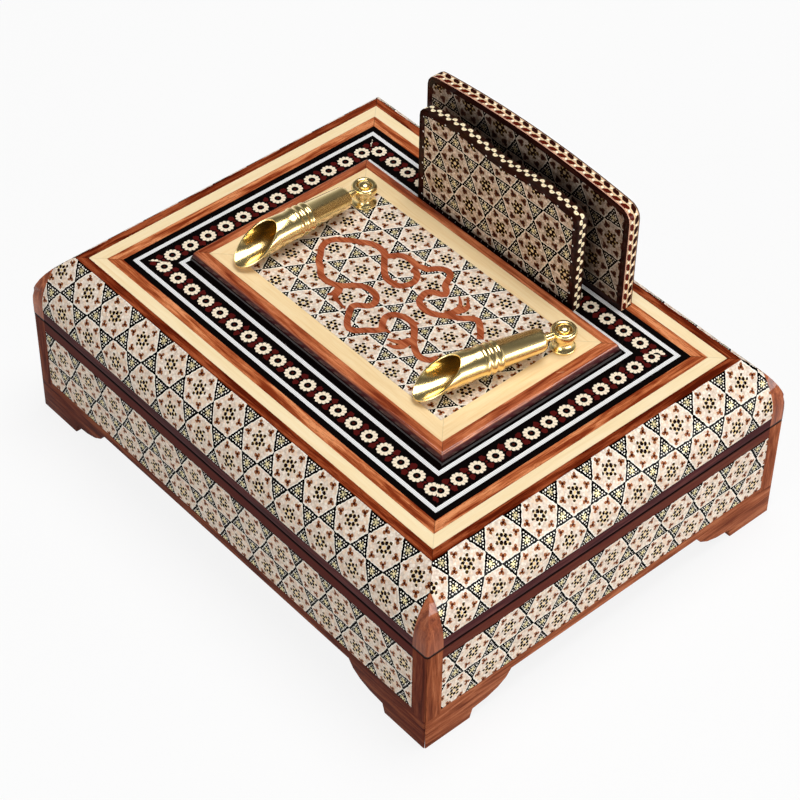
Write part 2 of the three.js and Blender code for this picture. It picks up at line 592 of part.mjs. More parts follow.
// Countersunk screw whose head is flush with a leaf's outer face, pointing along -Y
function hingeScrew() {
  const top = PLATE;
  const profile = [[0, top - SCREW_LENGTH], [SCREW * 0.4, top - SCREW_LENGTH], [SCREW, top - SCREW_LENGTH + 1.5],
    [SCREW, top - 0.7], [SCREW_HEAD, top], [0, top]];
  const slot = block(-SCREW_HEAD, SCREW_HEAD, -0.2, 0.2, top - 0.3, top + 1);
  return cut(lathe(profile, SMALL_FACETS), slot).rotateX(-Math.PI / 2);
}

function hingePin() {
  const half = HINGE_LENGTH / 2 + 0.2;
  const head = 0.5;
  const profile = [[0, -half - head], [PIN_HEAD, -half - head * 0.4], [PIN_HEAD, -half], [PIN, -half],
    [PIN, half], [PIN_HEAD, half], [PIN_HEAD, half + head * 0.4], [0, half + head]];
  return lathe(profile, SMALL_FACETS).rotateY(Math.PI / 2);
}

// Pen holder: pedestal, eye with neck and scooped tube, pivot screw
function pedestal() {
  const profile = [[PIVOT_SCREW + SCREW_PLAY, 0], [PIVOT_FOOT, 0], [PIVOT_FOOT, 0.8], [PIVOT_FOOT - 0.9, 1.4],
    [PIVOT_POST + 0.3, 2.3], [PIVOT_POST, 3.1], [PIVOT_POST, PIVOT_HEIGHT - 1.1],
    [PIVOT_HEAD, PIVOT_HEIGHT - 0.5], [PIVOT_HEAD, PIVOT_HEIGHT], [PIVOT_SCREW + SCREW_PLAY, PIVOT_HEIGHT],
    [PIVOT_SCREW + SCREW_PLAY, 0]];
  return lathe(profile, TUBE_FACETS);
}

function tubeRadius(t) {
  const plain = TUBE_REAR + ((TUBE_MOUTH - TUBE_REAR) * (t - TUBE_START)) / (TUBE_END - TUBE_START);
  const bead = BEADS.find((centre) => Math.abs(t - centre) < BEAD_HALF);
  if (bead === undefined) return plain;
  return plain + BEAD_RISE * Math.cos((Math.PI * (t - bead)) / (2 * BEAD_HALF));
}

function penTube() {
  const eyeTop = EYE_BASE + EYE_THICK;
  const hole = PIVOT_SCREW + SCREW_PLAY + 0.1;
  const eye = lathe([[hole, EYE_BASE], [EYE - 0.5, EYE_BASE], [EYE, EYE_BASE + 0.5], [EYE, eyeTop - 1],
    [EYE - 0.4, eyeTop - 0.3], [EYE - 1.1, eyeTop], [DISH + 0.3, eyeTop], [DISH, eyeTop - 0.4],
    [DISH - 0.5, eyeTop - DISH_DEPTH], [hole, eyeTop - DISH_DEPTH], [hole, EYE_BASE]], TUBE_FACETS);
  const beadSteps = BEADS.flatMap((centre) => levels(centre - BEAD_HALF, centre + BEAD_HALF, 4));
  const outer = [...beadSteps, TUBE_END].map((t) => [tubeRadius(t), t]);
  const neckStart = hole + 1.6;
  const profile = [[0, neckStart], [NECK, neckStart], [NECK, TUBE_START - 0.7], [NECK + 1.6, TUBE_START - 0.3],
    [TUBE_REAR - 0.5, TUBE_START + 0.6], [tubeRadius(TUBE_START + 2), TUBE_START + 2], ...outer,
    [TUBE_MOUTH - TUBE_WALL, TUBE_END], [tubeRadius(TUBE_START + 5) - TUBE_WALL, TUBE_START + 5],
    [TUBE_REAR - TUBE_WALL - 0.9, TUBE_START + 2.8], [0, TUBE_START + 2.2]];
  const slant = Math.atan2(2 * TUBE_MOUTH, MOUTH_CUT);
  const waste = block(0, 60, -20, 20, -60, 60).rotateY(-slant).translate(-TUBE_MOUTH, 0, TUBE_END);
  const tube = cut(lathe(profile, TUBE_FACETS), waste);
  tube.rotateZ(Math.PI / 2).rotateX(((90 - TUBE_TILT) * Math.PI) / 180).translate(0, 0, TUBE_HEIGHT);
  return join(eye, tube);
}

function pivotScrew() {
  const seat = EYE_BASE + EYE_THICK - DISH_DEPTH + 0.3;
  const r = PIVOT_SCREW_HEAD;
  const dome = levels(0, Math.PI / 2, 4).map((a) => [r * Math.cos(a), seat + 0.5 + 1.5 * Math.sin(a)]);
  const profile = [[0, -PIVOT_SCREW_REACH], [PIVOT_SCREW * 0.4, -PIVOT_SCREW_REACH],
    [PIVOT_SCREW, -PIVOT_SCREW_REACH + 2], [PIVOT_SCREW, seat], [r, seat], ...dome.slice(0, -1),
    [0, seat + 2]];
  return lathe(profile, SMALL_FACETS + 4);
}

// Assembly
const group = new THREE.Group();
group.position.y = -HINGE_PROUD / 2;
const box = new THREE.Group();
const lid = new THREE.Group();
lid.position.z = LID_BASE;
group.add(box, lid);

SIDES.forEach((side) => piece(box, `${side.name}_board`, boxBoard(side), ROSEWOOD));
SIDES.forEach((side) => piece(box, `${side.name}_khatam`, boxKhatam(side), KHATAM));
piece(box, 'bottom_panel', bottomPanel(), PLAIN_WOOD);

const corners = [['front_left', -1, -1], ['front_right', 1, -1], ['back_right', 1, 1], ['back_left', -1, 1]];
const leafBeds = corners.map(([, signX, signY]) => cornerLeaf(signX, signY, FIT));
const pivotPlace = (pen) => [pen.side * (FIELD_X - pen.fromEnd), FIELD_Y - pen.fromBack];
const pilots = (radius) => PENS.map((pen) =>
  rod(radius, PANEL_TOP - PIVOT_SCREW_REACH - 1, PANEL_TOP + 1, SMALL_FACETS + 4).translate(...pivotPlace(pen), 0));
const mortises = [RACK_FRONT, RACK_REAR].flatMap((rack) => tenons(rack, TENON_FIT, TENON_DEPTH + TENON_FIT));
const pilotHoles = pilots(PIVOT_SCREW + SCREW_PLAY);

SIDES.forEach((side) => piece(lid, `lid_${side.name}_rail`, lidRail(side, leafBeds), STRIP_WOOD));
SIDES.forEach((side) => piece(lid, `lid_${side.name}_khatam`, lidKhatam(side), KHATAM));
corners.forEach(([name, signX, signY]) =>
  piece(lid, `corner_leaf_${name}`, cornerLeaf(signX, signY, 0), ORANGE_WOOD));
piece(lid, 'lid_top_board', lidTopBoard(mortises, pilotHoles), PLAIN_WOOD);
piece(lid, 'rosewood_border', band(ROSEWOOD_INSET, MAPLE_INSET, BAND_BASE, LID_RISE), ROSEWOOD);
piece(lid, 'maple_border', band(MAPLE_INSET + FIT, ORANGE_INSET, BAND_BASE, LID_RISE), MAPLE);
piece(lid, 'orange_border', cut(band(ORANGE_INSET + FIT, FLOWER_INSET, BAND_BASE, LID_RISE), ...mortises),
  ORANGE_WOOD);
piece(lid, 'flower_border', flowerBorder(mortises), BLACK);
piece(lid, 'outer_silver_line', silverLine(OUTER_SILVER), SILVER_WHITE);
piece(lid, 'inner_silver_line', silverLine(INNER_SILVER), SILVER_WHITE);
piece(lid, 'raised_panel', raisedPanel(pilotHoles), ORANGE_WOOD);
piece(lid, 'raised_panel_maple', cut(
  ring(MAPLE_X - FIT, MAPLE_Y - FIT, FIELD_X, FIELD_Y, PANEL_TOP - VENEER + FIT, PANEL_TOP), ...pilotHoles), MAPLE);
piece(lid, 'raised_panel_khatam', cut(block(-FIELD_X + FIT, FIELD_X - FIT, -FIELD_Y + FIT, FIELD_Y - FIT,
  PANEL_TOP - VENEER + FIT, PANEL_TOP), ...pilotHoles), KHATAM);
piece(lid, 'arabesque_inlay', arabesque(), ORANGE_WOOD);

[RACK_FRONT, RACK_REAR].forEach((rack) => {
  piece(lid, `${rack.name}_board`, rackBoard(rack), STRIP_WOOD);
  piece(lid, `${rack.name}_khatam`, rackKhatam(rack, rack.front), KHATAM);
  piece(lid, `${rack.name}_edging`, rackEdging(rack), CHECKED);
});
piece(lid, 'rear_rack_back_khatam',
  rackKhatam(RACK_REAR, RACK_REAR.front + RACK_REAR.thick - RACK_VENEER + FIT), KHATAM);

const middle = HINGE_BODY / 2;
const boxSpans = [[-HINGE_LENGTH / 2, -middle - KNUCKLE_GAP], [middle + KNUCKLE_GAP, HINGE_LENGTH / 2]];
const pinPlace = [DEPTH / 2 + PIN_OUT, PIN_HEIGHT];
[['left', -1], ['right', 1]].forEach(([name, sign]) => {
  const x = sign * (WIDTH / 2 - HINGE_INSET);
  const boxLeaf = hingeLeaf(-1, BOX_LEAF, boxSpans, HINGE_BOX_SCREW - PIN_HEIGHT);
  piece(box, `${name}_hinge_box_leaf`, boxLeaf, BRASS).position.set(x, ...pinPlace);
  piece(box, `${name}_hinge_pin`, hingePin(), BRASS).position.set(x, ...pinPlace);
  const lidLeaf = hingeLeaf(1, LID_LEAF, [[-middle, middle]], HINGE_LID_SCREW + LID_BASE - PIN_HEIGHT);
  piece(lid, `${name}_hinge_lid_leaf`, lidLeaf, BRASS).position.set(x, pinPlace[0], PIN_HEIGHT - LID_BASE);
});
screwPlaces().forEach(({ hinge, x }, i) => {
  const name = `${hinge < 0 ? 'left' : 'right'}_hinge_screw_${(i % 2) + 1}`;
  piece(box, `${name}_box`, hingeScrew(), BRASS).position.set(x, DEPTH / 2 + FIT, HINGE_BOX_SCREW);
  piece(lid, `${name}_lid`, hingeScrew(), BRASS).position.set(x, DEPTH / 2 + FIT, HINGE_LID_SCREW);
});

PENS.forEach((holder) => {
  const pen = new THREE.Group();
  pen.position.set(...pivotPlace(holder), PANEL_TOP);
  lid.add(pen);
  piece(pen, `${holder.name}_pen_pedestal`, pedestal(), BRASS);
  piece(pen, `${holder.name}_pen_screw`, pivotScrew(), BRASS);
  const tube = piece(pen, `${holder.name}_pen_tube`, penTube(), BRASS);
  tube.rotation.z = (holder.turn * Math.PI) / 180;
});

export default group;
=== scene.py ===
"""Desk box in khatam marquetry with two brass pen tubes and a two-leaf card rack.

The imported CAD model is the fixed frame. Each sub-assembly below dresses its nodes in procedural
finishes or puts a finer piece in their place. Sizes are millimetres unless a name says otherwise.
"""

from __future__ import annotations

import logging
import math
from contextlib import contextmanager
from dataclasses import dataclass, replace
from enum import Enum
from typing import Callable, Iterator, NamedTuple, Sequence

import bmesh
import bpy
from mathutils import Matrix, Vector

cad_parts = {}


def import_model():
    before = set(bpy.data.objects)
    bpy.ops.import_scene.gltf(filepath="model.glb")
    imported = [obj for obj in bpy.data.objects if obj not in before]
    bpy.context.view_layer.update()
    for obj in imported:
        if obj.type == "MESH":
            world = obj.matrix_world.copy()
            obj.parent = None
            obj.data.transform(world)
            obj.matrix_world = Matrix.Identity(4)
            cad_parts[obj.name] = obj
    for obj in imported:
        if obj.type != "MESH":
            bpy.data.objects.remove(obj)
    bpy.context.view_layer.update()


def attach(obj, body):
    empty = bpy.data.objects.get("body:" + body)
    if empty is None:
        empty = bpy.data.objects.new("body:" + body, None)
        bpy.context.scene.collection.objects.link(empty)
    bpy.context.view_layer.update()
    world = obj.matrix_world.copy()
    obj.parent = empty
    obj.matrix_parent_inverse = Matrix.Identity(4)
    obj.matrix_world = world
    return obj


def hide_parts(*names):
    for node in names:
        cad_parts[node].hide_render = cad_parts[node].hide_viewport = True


LOG = logging.getLogger("desk_box")
MM = 0.001
Colour = tuple[float, float, float, float]
Triple = tuple[float, float, float]
Test = Callable[[Vector], bool]
Chart = Callable[[Vector, Vector], tuple[float, float]]
Shaper = Callable[[bpy.types.Object], None]
Socket = bpy.types.NodeSocket

# The box on the floor, as in the part's source
HALF_LONG = 125.0
HALF_SHORT = 96.75
MIDDLE_Y = -2.15
SEAM = 53.8
LID_BASE = 54.2
TOP = 85.8
PANEL_TOP = 91.3

# What counts as lying on an outer face or a level, and the degrees under which the faces of a
# curved piece merge
NEAR = 0.2
TOUCH = 0.1
CURVED_FLAT = 0.2


def tint(red: int, green: int, blue: int) -> Colour:
    """Turn a colour as it looks on screen into linear light.

    Args:
        red: Red from 0 to 255.
        green: Green from 0 to 255.
        blue: Blue from 0 to 255.

    Returns:
        The linear colour with full opacity.
    """

    def linear(level: int) -> float:
        """One channel in linear light."""
        share = level / 255
        return share / 12.92 if share <= 0.04045 else ((share + 0.055) / 1.055) ** 2.4

    return (linear(red), linear(green), linear(blue), 1.0)


class MixPlace(NamedTuple):
    """Where a Mix node keeps its first value and its result for one kind of data."""

    first: int
    result: int


class Graph:
    """The nodes of one material, with short calls for the sums that the finishes share."""

    MIX_PLACES = {"FLOAT": MixPlace(2, 0), "VECTOR": MixPlace(4, 1), "RGBA": MixPlace(6, 2)}

    def __init__(self, name: str) -> None:
        """Start a material with a bare Principled shader.

        Args:
            name: Name of the material.
        """
        self.material = bpy.data.materials.new(name)
        self.material.use_nodes = True
        self.tree = self.material.node_tree
        self.shader = next(n for n in self.tree.nodes if n.type == "BSDF_PRINCIPLED")

    def feed(self, socket: Socket, value: object) -> None:
        """Link a socket to another, or set its own value.

        Args:
            socket: The input to fill.
            value: An output socket or a constant.
        """
        if isinstance(value, Socket):
            self.tree.links.new(value, socket)
        elif value is not None:
            socket.default_value = value

    def node(self, kind: str, *values: object, **settings: object) -> bpy.types.Node:
        """Add a node, with its settings first and its inputs in order.

        Args:
            kind: The node's type name.
            values: What goes into the inputs, in order; None leaves one alone.
            settings: Attributes of the node.

        Returns:
            The new node.
        """
        made = self.tree.nodes.new(kind)
        for key, setting in settings.items():
            setattr(made, key, setting)
        for socket, value in zip(made.inputs, values):
            self.feed(socket, value)
        return made

    def calc(self, operation: str, *values: object, clamp: bool = False) -> Socket:
        """Do one sum on plain numbers; with clamp, the result stays between 0 and 1."""
        return self.node("ShaderNodeMath", *values, operation=operation, use_clamp=clamp).outputs[0]

    def named(self, kind: str, **values: object) -> bpy.types.Node:
        """Add a node and fill its inputs by their names.

        Args:
            kind: The node's type name.
            values: What goes into each named input.

        Returns:
            The new node.
        """
        made = self.tree.nodes.new(kind)
        for name, value in values.items():
            self.feed(made.inputs[name], value)
        return made

    def times(self, first: object, second: object, clamp: bool = False) -> Socket:
        """The product of two numbers."""
        return self.calc("MULTIPLY", first, second, clamp=clamp)

    def plus(self, first: object, second: object, clamp: bool = False) -> Socket:
        """The sum of two numbers."""
        return self.calc("ADD", first, second, clamp=clamp)

    def minus(self, first: object, second: object) -> Socket:
        """The first number less the second."""
        return self.calc("SUBTRACT", first, second)

    def above(self, first: object, second: object) -> Socket:
        """Where the first number is greater than the second."""
        return self.calc("GREATER_THAN", first, second)

    def below(self, first: object, second: object) -> Socket:
        """Where the first number is less than the second."""
        return self.calc("LESS_THAN", first, second)

    def size(self, value: object) -> Socket:
        """A number without its sign."""
        return self.calc("ABSOLUTE", value)

    def vec(self, operation: str, *values: object, scale: object = None) -> Socket:
        """Do one sum on vectors.

        Args:
            operation: Name of the Vector Math operation.
            values: Its inputs in order.
            scale: The factor of a SCALE.

        Returns:
            The vector result, or the number for a length, distance or dot product.
        """
        made = self.node("ShaderNodeVectorMath", *values, operation=operation)
        if scale is not None:
            self.feed(made.inputs["Scale"], scale)
        return made.outputs["Value" if operation in ("LENGTH", "DISTANCE", "DOT_PRODUCT") else "Vector"]

    def both(self, *masks: object) -> Socket:
        """Where all of the masks hold.

        Args:
            masks: The masks.

        Returns:
            The mask of what they share.
        """
        result = masks[0]
        for mask in masks[1:]:
            result = self.times(result, mask)
        return result

    def any_of(self, *masks: object) -> Socket:
        """Where at least one of the masks holds.

        Args:
            masks: The masks.

        Returns:
            The mask of all that they cover.
        """
        result = masks[0]
        for mask in masks[1:]:
            result = self.calc("MAXIMUM", result, mask)
        return result

    def flip(self, mask: object) -> Socket:
        """Where the mask doesn't hold."""
        return self.minus(1.0, mask)

    def mix(self, kind: str, share: object, first: object, second: object) -> Socket:
        """Mix two numbers, vectors or colours.

        Args:
            kind: FLOAT, VECTOR or RGBA.
            share: How much of the second one shows.
            first: The first value.
            second: The second value.

        Returns:
            The mixed value.
        """
        made = self.node("ShaderNodeMix", share, data_type=kind)
        place = self.MIX_PLACES[kind]
        self.feed(made.inputs[place.first], first)
        self.feed(made.inputs[place.first + 1], second)
        return made.outputs[place.result]

    def blend(self, share: object, under: object, over: object) -> Socket:
        """Lay one colour over another by the share of it that shows."""
        return self.mix("RGBA", share, under, over)

    def layers(self, ground: object, *masked: tuple[object, object]) -> Socket:
        """Lay colours over a ground, one by one.

        Args:
            ground: The lowest colour.
            masked: The mask and the colour of each layer, from the lowest.

        Returns:
            The colour with all layers on it.
        """
        for mask, colour in masked:
            ground = self.blend(mask, ground, colour)
        return ground

    def pick(self, mask: object, when_off: object, when_on: object) -> Socket:
        """Choose between two numbers by a mask."""
        return self.mix("FLOAT", mask, when_off, when_on)

    def pick_vector(self, mask: object, when_off: object, when_on: object) -> Socket:
        """Choose between two vectors by a mask."""
        return self.mix("VECTOR", mask, when_off, when_on)

    def ramp(self, share: object, *stops: tuple[float, Colour]) -> Socket:
        """Colours along a ramp.

        Args:
            share: Where on the ramp, from 0 to 1.
            stops: Each stop's place and colour.

        Returns:
            The colour.
        """
        made = self.node("ShaderNodeValToRGB", share)
        elements = made.color_ramp.elements
        while len(elements) < len(stops):
            elements.new(1.0)
        for element, (place, colour) in zip(elements, stops):
            element.position = place
            element.color = colour
        return made.outputs["Color"]

    def noise(self, place: object, scale: float, detail: float = 2.0, distortion: float = 0.0,
              output: int | str = 0) -> Socket:
        """Smooth noise over a place.

        Args:
            place: Where it is read.
            scale: How fine it is.
            detail: How many finer layers it has.
            distortion: How far it is warped.
            output: 0 for one number, Color for three.

        Returns:
            The noise, from 0 to 1.
        """
        made = self.named("ShaderNodeTexNoise", Vector=place, Scale=scale, Detail=detail,
                          Distortion=distortion)
        return made.outputs[output]

    def stretched(self, point: object, stretch: Triple, detail: float = 2.0,
                  distortion: float = 0.0) -> Socket:
        """Smooth noise over a point whose axes are scaled first."""
        return self.noise(self.vec("MULTIPLY", point, stretch), 1.0, detail, distortion)

    def within(self, along: object, pitch: object, shift: object = 0.0) -> Socket:
        """How far a length lies from its step's middle in a row that is moved by some steps."""
        turns = self.plus(self.calc("DIVIDE", along, pitch), shift)
        return self.times(self.minus(self.calc("FRACT", turns), 0.5), pitch)

    def cells(self, place: object, scale: float) -> bpy.types.Node:
        """Cells over a place; its outputs are Distance and Color."""
        return self.named("ShaderNodeTexVoronoi", Vector=place, Scale=scale)

    def split(self, vector: object) -> tuple[Socket, ...]:
        """The X, Y and Z of a vector."""
        return tuple(self.node("ShaderNodeSeparateXYZ", vector).outputs)

    def join(self, x: object, y: object, z: object = 0.0) -> Socket:
        """A vector from its X, Y and Z."""
        return self.node("ShaderNodeCombineXYZ", x, y, z).outputs[0]

    def place(self) -> Socket:
        """The point on the object in millimetres."""
        at = self.tree.nodes.new("ShaderNodeTexCoord").outputs["Object"]
        return self.vec("SCALE", at, scale=1 / MM)

    def chart(self) -> Socket:
        """The point on the piece's own flat chart, in millimetres."""
        return self.node("ShaderNodeUVMap", uv_map=Sheets.CHART).outputs[0]

    def spot(self, point: object, x: float, y: float, radius: object) -> Socket:
        """The mask of a round spot about x and y."""
        return self.below(self.vec("DISTANCE", point, (x, y, 0.0)), radius)

    def insets(self, half_x: float = HALF_LONG, half_y: float = HALF_SHORT) -> dict[str, Socket]:
        """How far a point lies inside a rectangle round the middle of the lid.

        Args:
            half_x: Half of the rectangle's length.
            half_y: Half of its width.

        Returns:
            x, y and z in millimetres from the middle, the inset from the ends and from the long
            sides, the smaller of them, and the mask of the long sides.
        """
        x, y, z = self.split(self.place())
        y = self.minus(y, MIDDLE_Y)
        end = self.minus(half_x, self.size(x))
        side = self.minus(half_y, self.size(y))
        return {
            "x": x,
            "y": y,
            "z": z,
            "end": end,
            "side": side,
            "least": self.calc("MINIMUM", end, side),
            "long": self.below(side, end),
        }

    def surface(self, colour: object, roughness: object, metal: object = 0.0, coat: float = 0.0,
                coat_roughness: float = 0.04, specular: float = 0.25) -> None:
        """Set the shader's main sockets.

        Args:
            colour: Base colour.
            roughness: Base roughness.
            metal: How metallic it is.
            coat: Weight of the clear lacquer over it.
            coat_roughness: Roughness of that lacquer.
            specular: Specular level of the base.
        """
        values = {"Base Color": colour, "Roughness": roughness, "Metallic": metal, "Coat Weight": coat,
                  "Coat Roughness": coat_roughness, "Specular IOR Level": specular}
        for name, value in values.items():
            self.feed(self.shader.inputs[name], value)

    def relief(self, height: object, strength: float, distance: float, coat: bool = False) -> None:
        """Bump the surface.

        Args:
            height: Height from 0 to 1.
            strength: Strength of the bump.
            distance: Height of a full step in millimetres.
            coat: Bump the lacquer as well.
        """
        made = self.named("ShaderNodeBump", Strength=strength, Distance=distance * MM, Height=height)
        self.feed(self.shader.inputs["Normal"], made.outputs[0])
        if coat:
            self.feed(self.shader.inputs["Coat Normal"], made.outputs[0])


@dataclass(frozen=True)
class Finish:
    """A named finish; each kind below paints its own graph."""

    name: str
    slot: str

    def paint(self, graph: Graph) -> None:
        """Lay out the finish's nodes.

        Args:
            graph: The material's nodes.
        """
        raise NotImplementedError

    def material(self) -> bpy.types.Material:
        """The finish's material, made once.

        Returns:
            The material.
        """
        made = bpy.data.materials.get(self.name)
        if made is None:
            graph = Graph(self.name)
            self.paint(graph)
            made = graph.material
        return made


@dataclass(frozen=True)
class Khatam(Finish):
    """Khatam: hexagons of pale rods between black triangles, with brass and bone points.

    The chart is scaled so that hexagon centres stand PITCH apart along its first axis. Spots are
    the x, y and radius in one wedge of a hexagon; DRIFT is the scale and reach of the sheet's own
    unevenness.
    """

    PITCH = 18.2
    DRIFT = (0.09, 0.7)
    UNEVEN_SCALE = 0.75
    ROD_SCALE = 0.95
    JOINT_FROM = 0.56
    WARM_FROM = 0.75
    PALE_SPOTS = ((3.9, 0.0, 0.5), (7.7, 0.9, 0.35))
    LOBES = ((7.1, 0.0, 0.72), (5.75, 0.76, 0.72))
    EBONY_SPOTS = ((1.5, 0.87, 0.8),)
    WALNUT_SPOTS = ((3.2, 0.0, 0.64),)
    UMBER_SPOTS = ((6.2, 0.0, 0.62),)
    BONE_SPOTS = ((9.1, 1.95, 0.31), (8.485, 3.015, 0.31), (7.87, 4.08, 0.31))
    ROSE = ((9.1, 5.254, 0.66), (9.1, 4.12, 0.34), (8.12, 4.69, 0.34))
    PETALS = ((0.0, 0.0, 0.6), (2.1, 0.0, 0.4))

    coat: float = 0.09
    band: float = 0.16
    rim: float = 0.3
    uneven: float = 0.95
    swell: float = 1.0
    ground: Colour = tint(250, 238, 224)
    ground_dark: Colour = tint(200, 178, 158)
    warm: Colour = tint(238, 206, 172)
    black: Colour = tint(10, 6, 5)
    ebony: Colour = tint(30, 14, 6)
    walnut: Colour = tint(64, 44, 20)
    bone: Colour = tint(250, 244, 232)
    brass: Colour = tint(236, 208, 146)
    pale_brass: Colour = tint(232, 218, 168)
    copper: Colour = tint(146, 88, 52)
    umber: Colour = tint(66, 22, 10)

    def folded(self, graph: Graph, flat: Socket) -> Socket:
        """Fold the chart onto one wedge of the nearest hexagon.

        Args:
            graph: The material's nodes.
            flat: The point on the chart.

        Returns:
            The point in the wedge between a corner's direction and the middle of a side.
        """
        half_x = self.PITCH / 2
        half_y = half_x * math.sqrt(3)
        low, high = (-half_x, -half_y, -1.0), (half_x, half_y, 1.0)
        here = graph.vec("WRAP", flat, high, low)
        moved = graph.vec("WRAP", graph.vec("ADD", flat, (half_x, half_y, 0.0)), high, low)
        nearer = graph.below(graph.vec("LENGTH", moved), graph.vec("LENGTH", here))
        point = graph.vec("ABSOLUTE", graph.pick_vector(nearer, here, moved))
        for angle in (60, 30):
            across = (-math.sin(math.radians(angle)), math.cos(math.radians(angle)), 0.0)
            over = graph.calc("MAXIMUM", graph.vec("DOT_PRODUCT", point, across), 0.0)
            step = graph.vec("SCALE", across, scale=graph.times(over, 2.0))
            point = graph.vec("SUBTRACT", point, step)
        return point

    def shifted(self, graph: Graph, flat: object, scale: float, reach: float) -> Socket:
        """A small uneven displacement of the chart, as hand-laid rods have it."""
        noise = graph.noise(flat, scale, 1.0, output="Color")
        return graph.vec("SCALE", graph.vec("SUBTRACT", noise, (0.5, 0.5, 0.5)), scale=reach)

    def rods(self, graph: Graph, flat: object) -> Socket:
        """The colour of the pale rods, each with its own shade and a joint round it.

        Args:
            graph: The material's nodes.
            flat: The point on the chart.

        Returns:
            The colour.
        """
        tile = graph.cells(flat, self.ROD_SCALE)
        dark, warm, _ = graph.split(tile.outputs["Color"])
        joints = graph.times(graph.above(tile.outputs["Distance"], self.JOINT_FROM), 0.28)
        patch = graph.noise(flat, 0.05)
        shade = graph.plus(graph.times(dark, 0.55), graph.times(patch, 0.25))
        colour = graph.blend(graph.plus(shade, joints, clamp=True), self.ground, self.ground_dark)
        return graph.blend(graph.times(graph.above(warm, self.WARM_FROM), 0.5), colour, self.warm)

    def paint(self, graph: Graph) -> None:
        """Lay out the hexagons, triangles, petals and points.

        Args:
            graph: The material's nodes.
        """
        flat = graph.chart()
        uneven = self.shifted(graph, flat, self.UNEVEN_SCALE, self.uneven)
        drift = graph.vec("ADD", self.shifted(graph, flat, *self.DRIFT), uneven)
        point = self.folded(graph, graph.vec("ADD", flat, graph.vec("MULTIPLY", drift, (1.0, 1.0, 0.0))))
        across = graph.vec("DOT_PRODUCT", point, (math.cos(math.pi / 6), 0.5, 0.0))
        base = self.PITCH * math.sqrt(3) / 4 - self.band

        def spots(places: Sequence[Triple], swell: float = 1.0) -> Socket:
            """A mask of several spots, each with its middle and radius."""
            return graph.any_of(*(graph.spot(point, x, y, radius * swell) for x, y, radius in places))

        rim = graph.above(across, base - self.rim)
        pale = graph.any_of(graph.times(spots(self.PALE_SPOTS), 0.6), graph.times(rim, 0.85))
        lobes = spots(self.LOBES, self.swell)
        rose = spots(self.ROSE)
        petals = spots(self.PETALS)
        colour = graph.layers(
            self.rods(graph, flat),
            (pale, self.bone),
            (lobes, self.copper),
            (graph.above(across, base), self.black),
            (spots(self.EBONY_SPOTS, self.swell), self.ebony),
            (spots(self.WALNUT_SPOTS, self.swell), self.walnut),
            (spots(self.UMBER_SPOTS, self.swell), self.umber),
            (spots(self.BONE_SPOTS), self.bone),
            (rose, self.pale_brass),
            (petals, self.brass),
        )
        metal = graph.any_of(rose, petals)
        shine = graph.times(graph.any_of(metal, lobes), 0.35)
        rough = graph.pick(metal, 0.45, 0.3)
        graph.surface(colour, rough, shine, coat=self.coat, coat_roughness=0.06, specular=0.0)
        graph.relief(graph.noise(flat, 0.12), 0.08, 0.4, coat=True)


class Grain(Enum):
    """Which way the grain of a wooden piece runs."""

    LONG = (1.0, 0.0, 0.0)
    SHORT = (0.0, 1.0, 0.0)
    UP = (0.0, 0.0, 1.0)
    FRAME = (1.0, 1.0, 0.0)


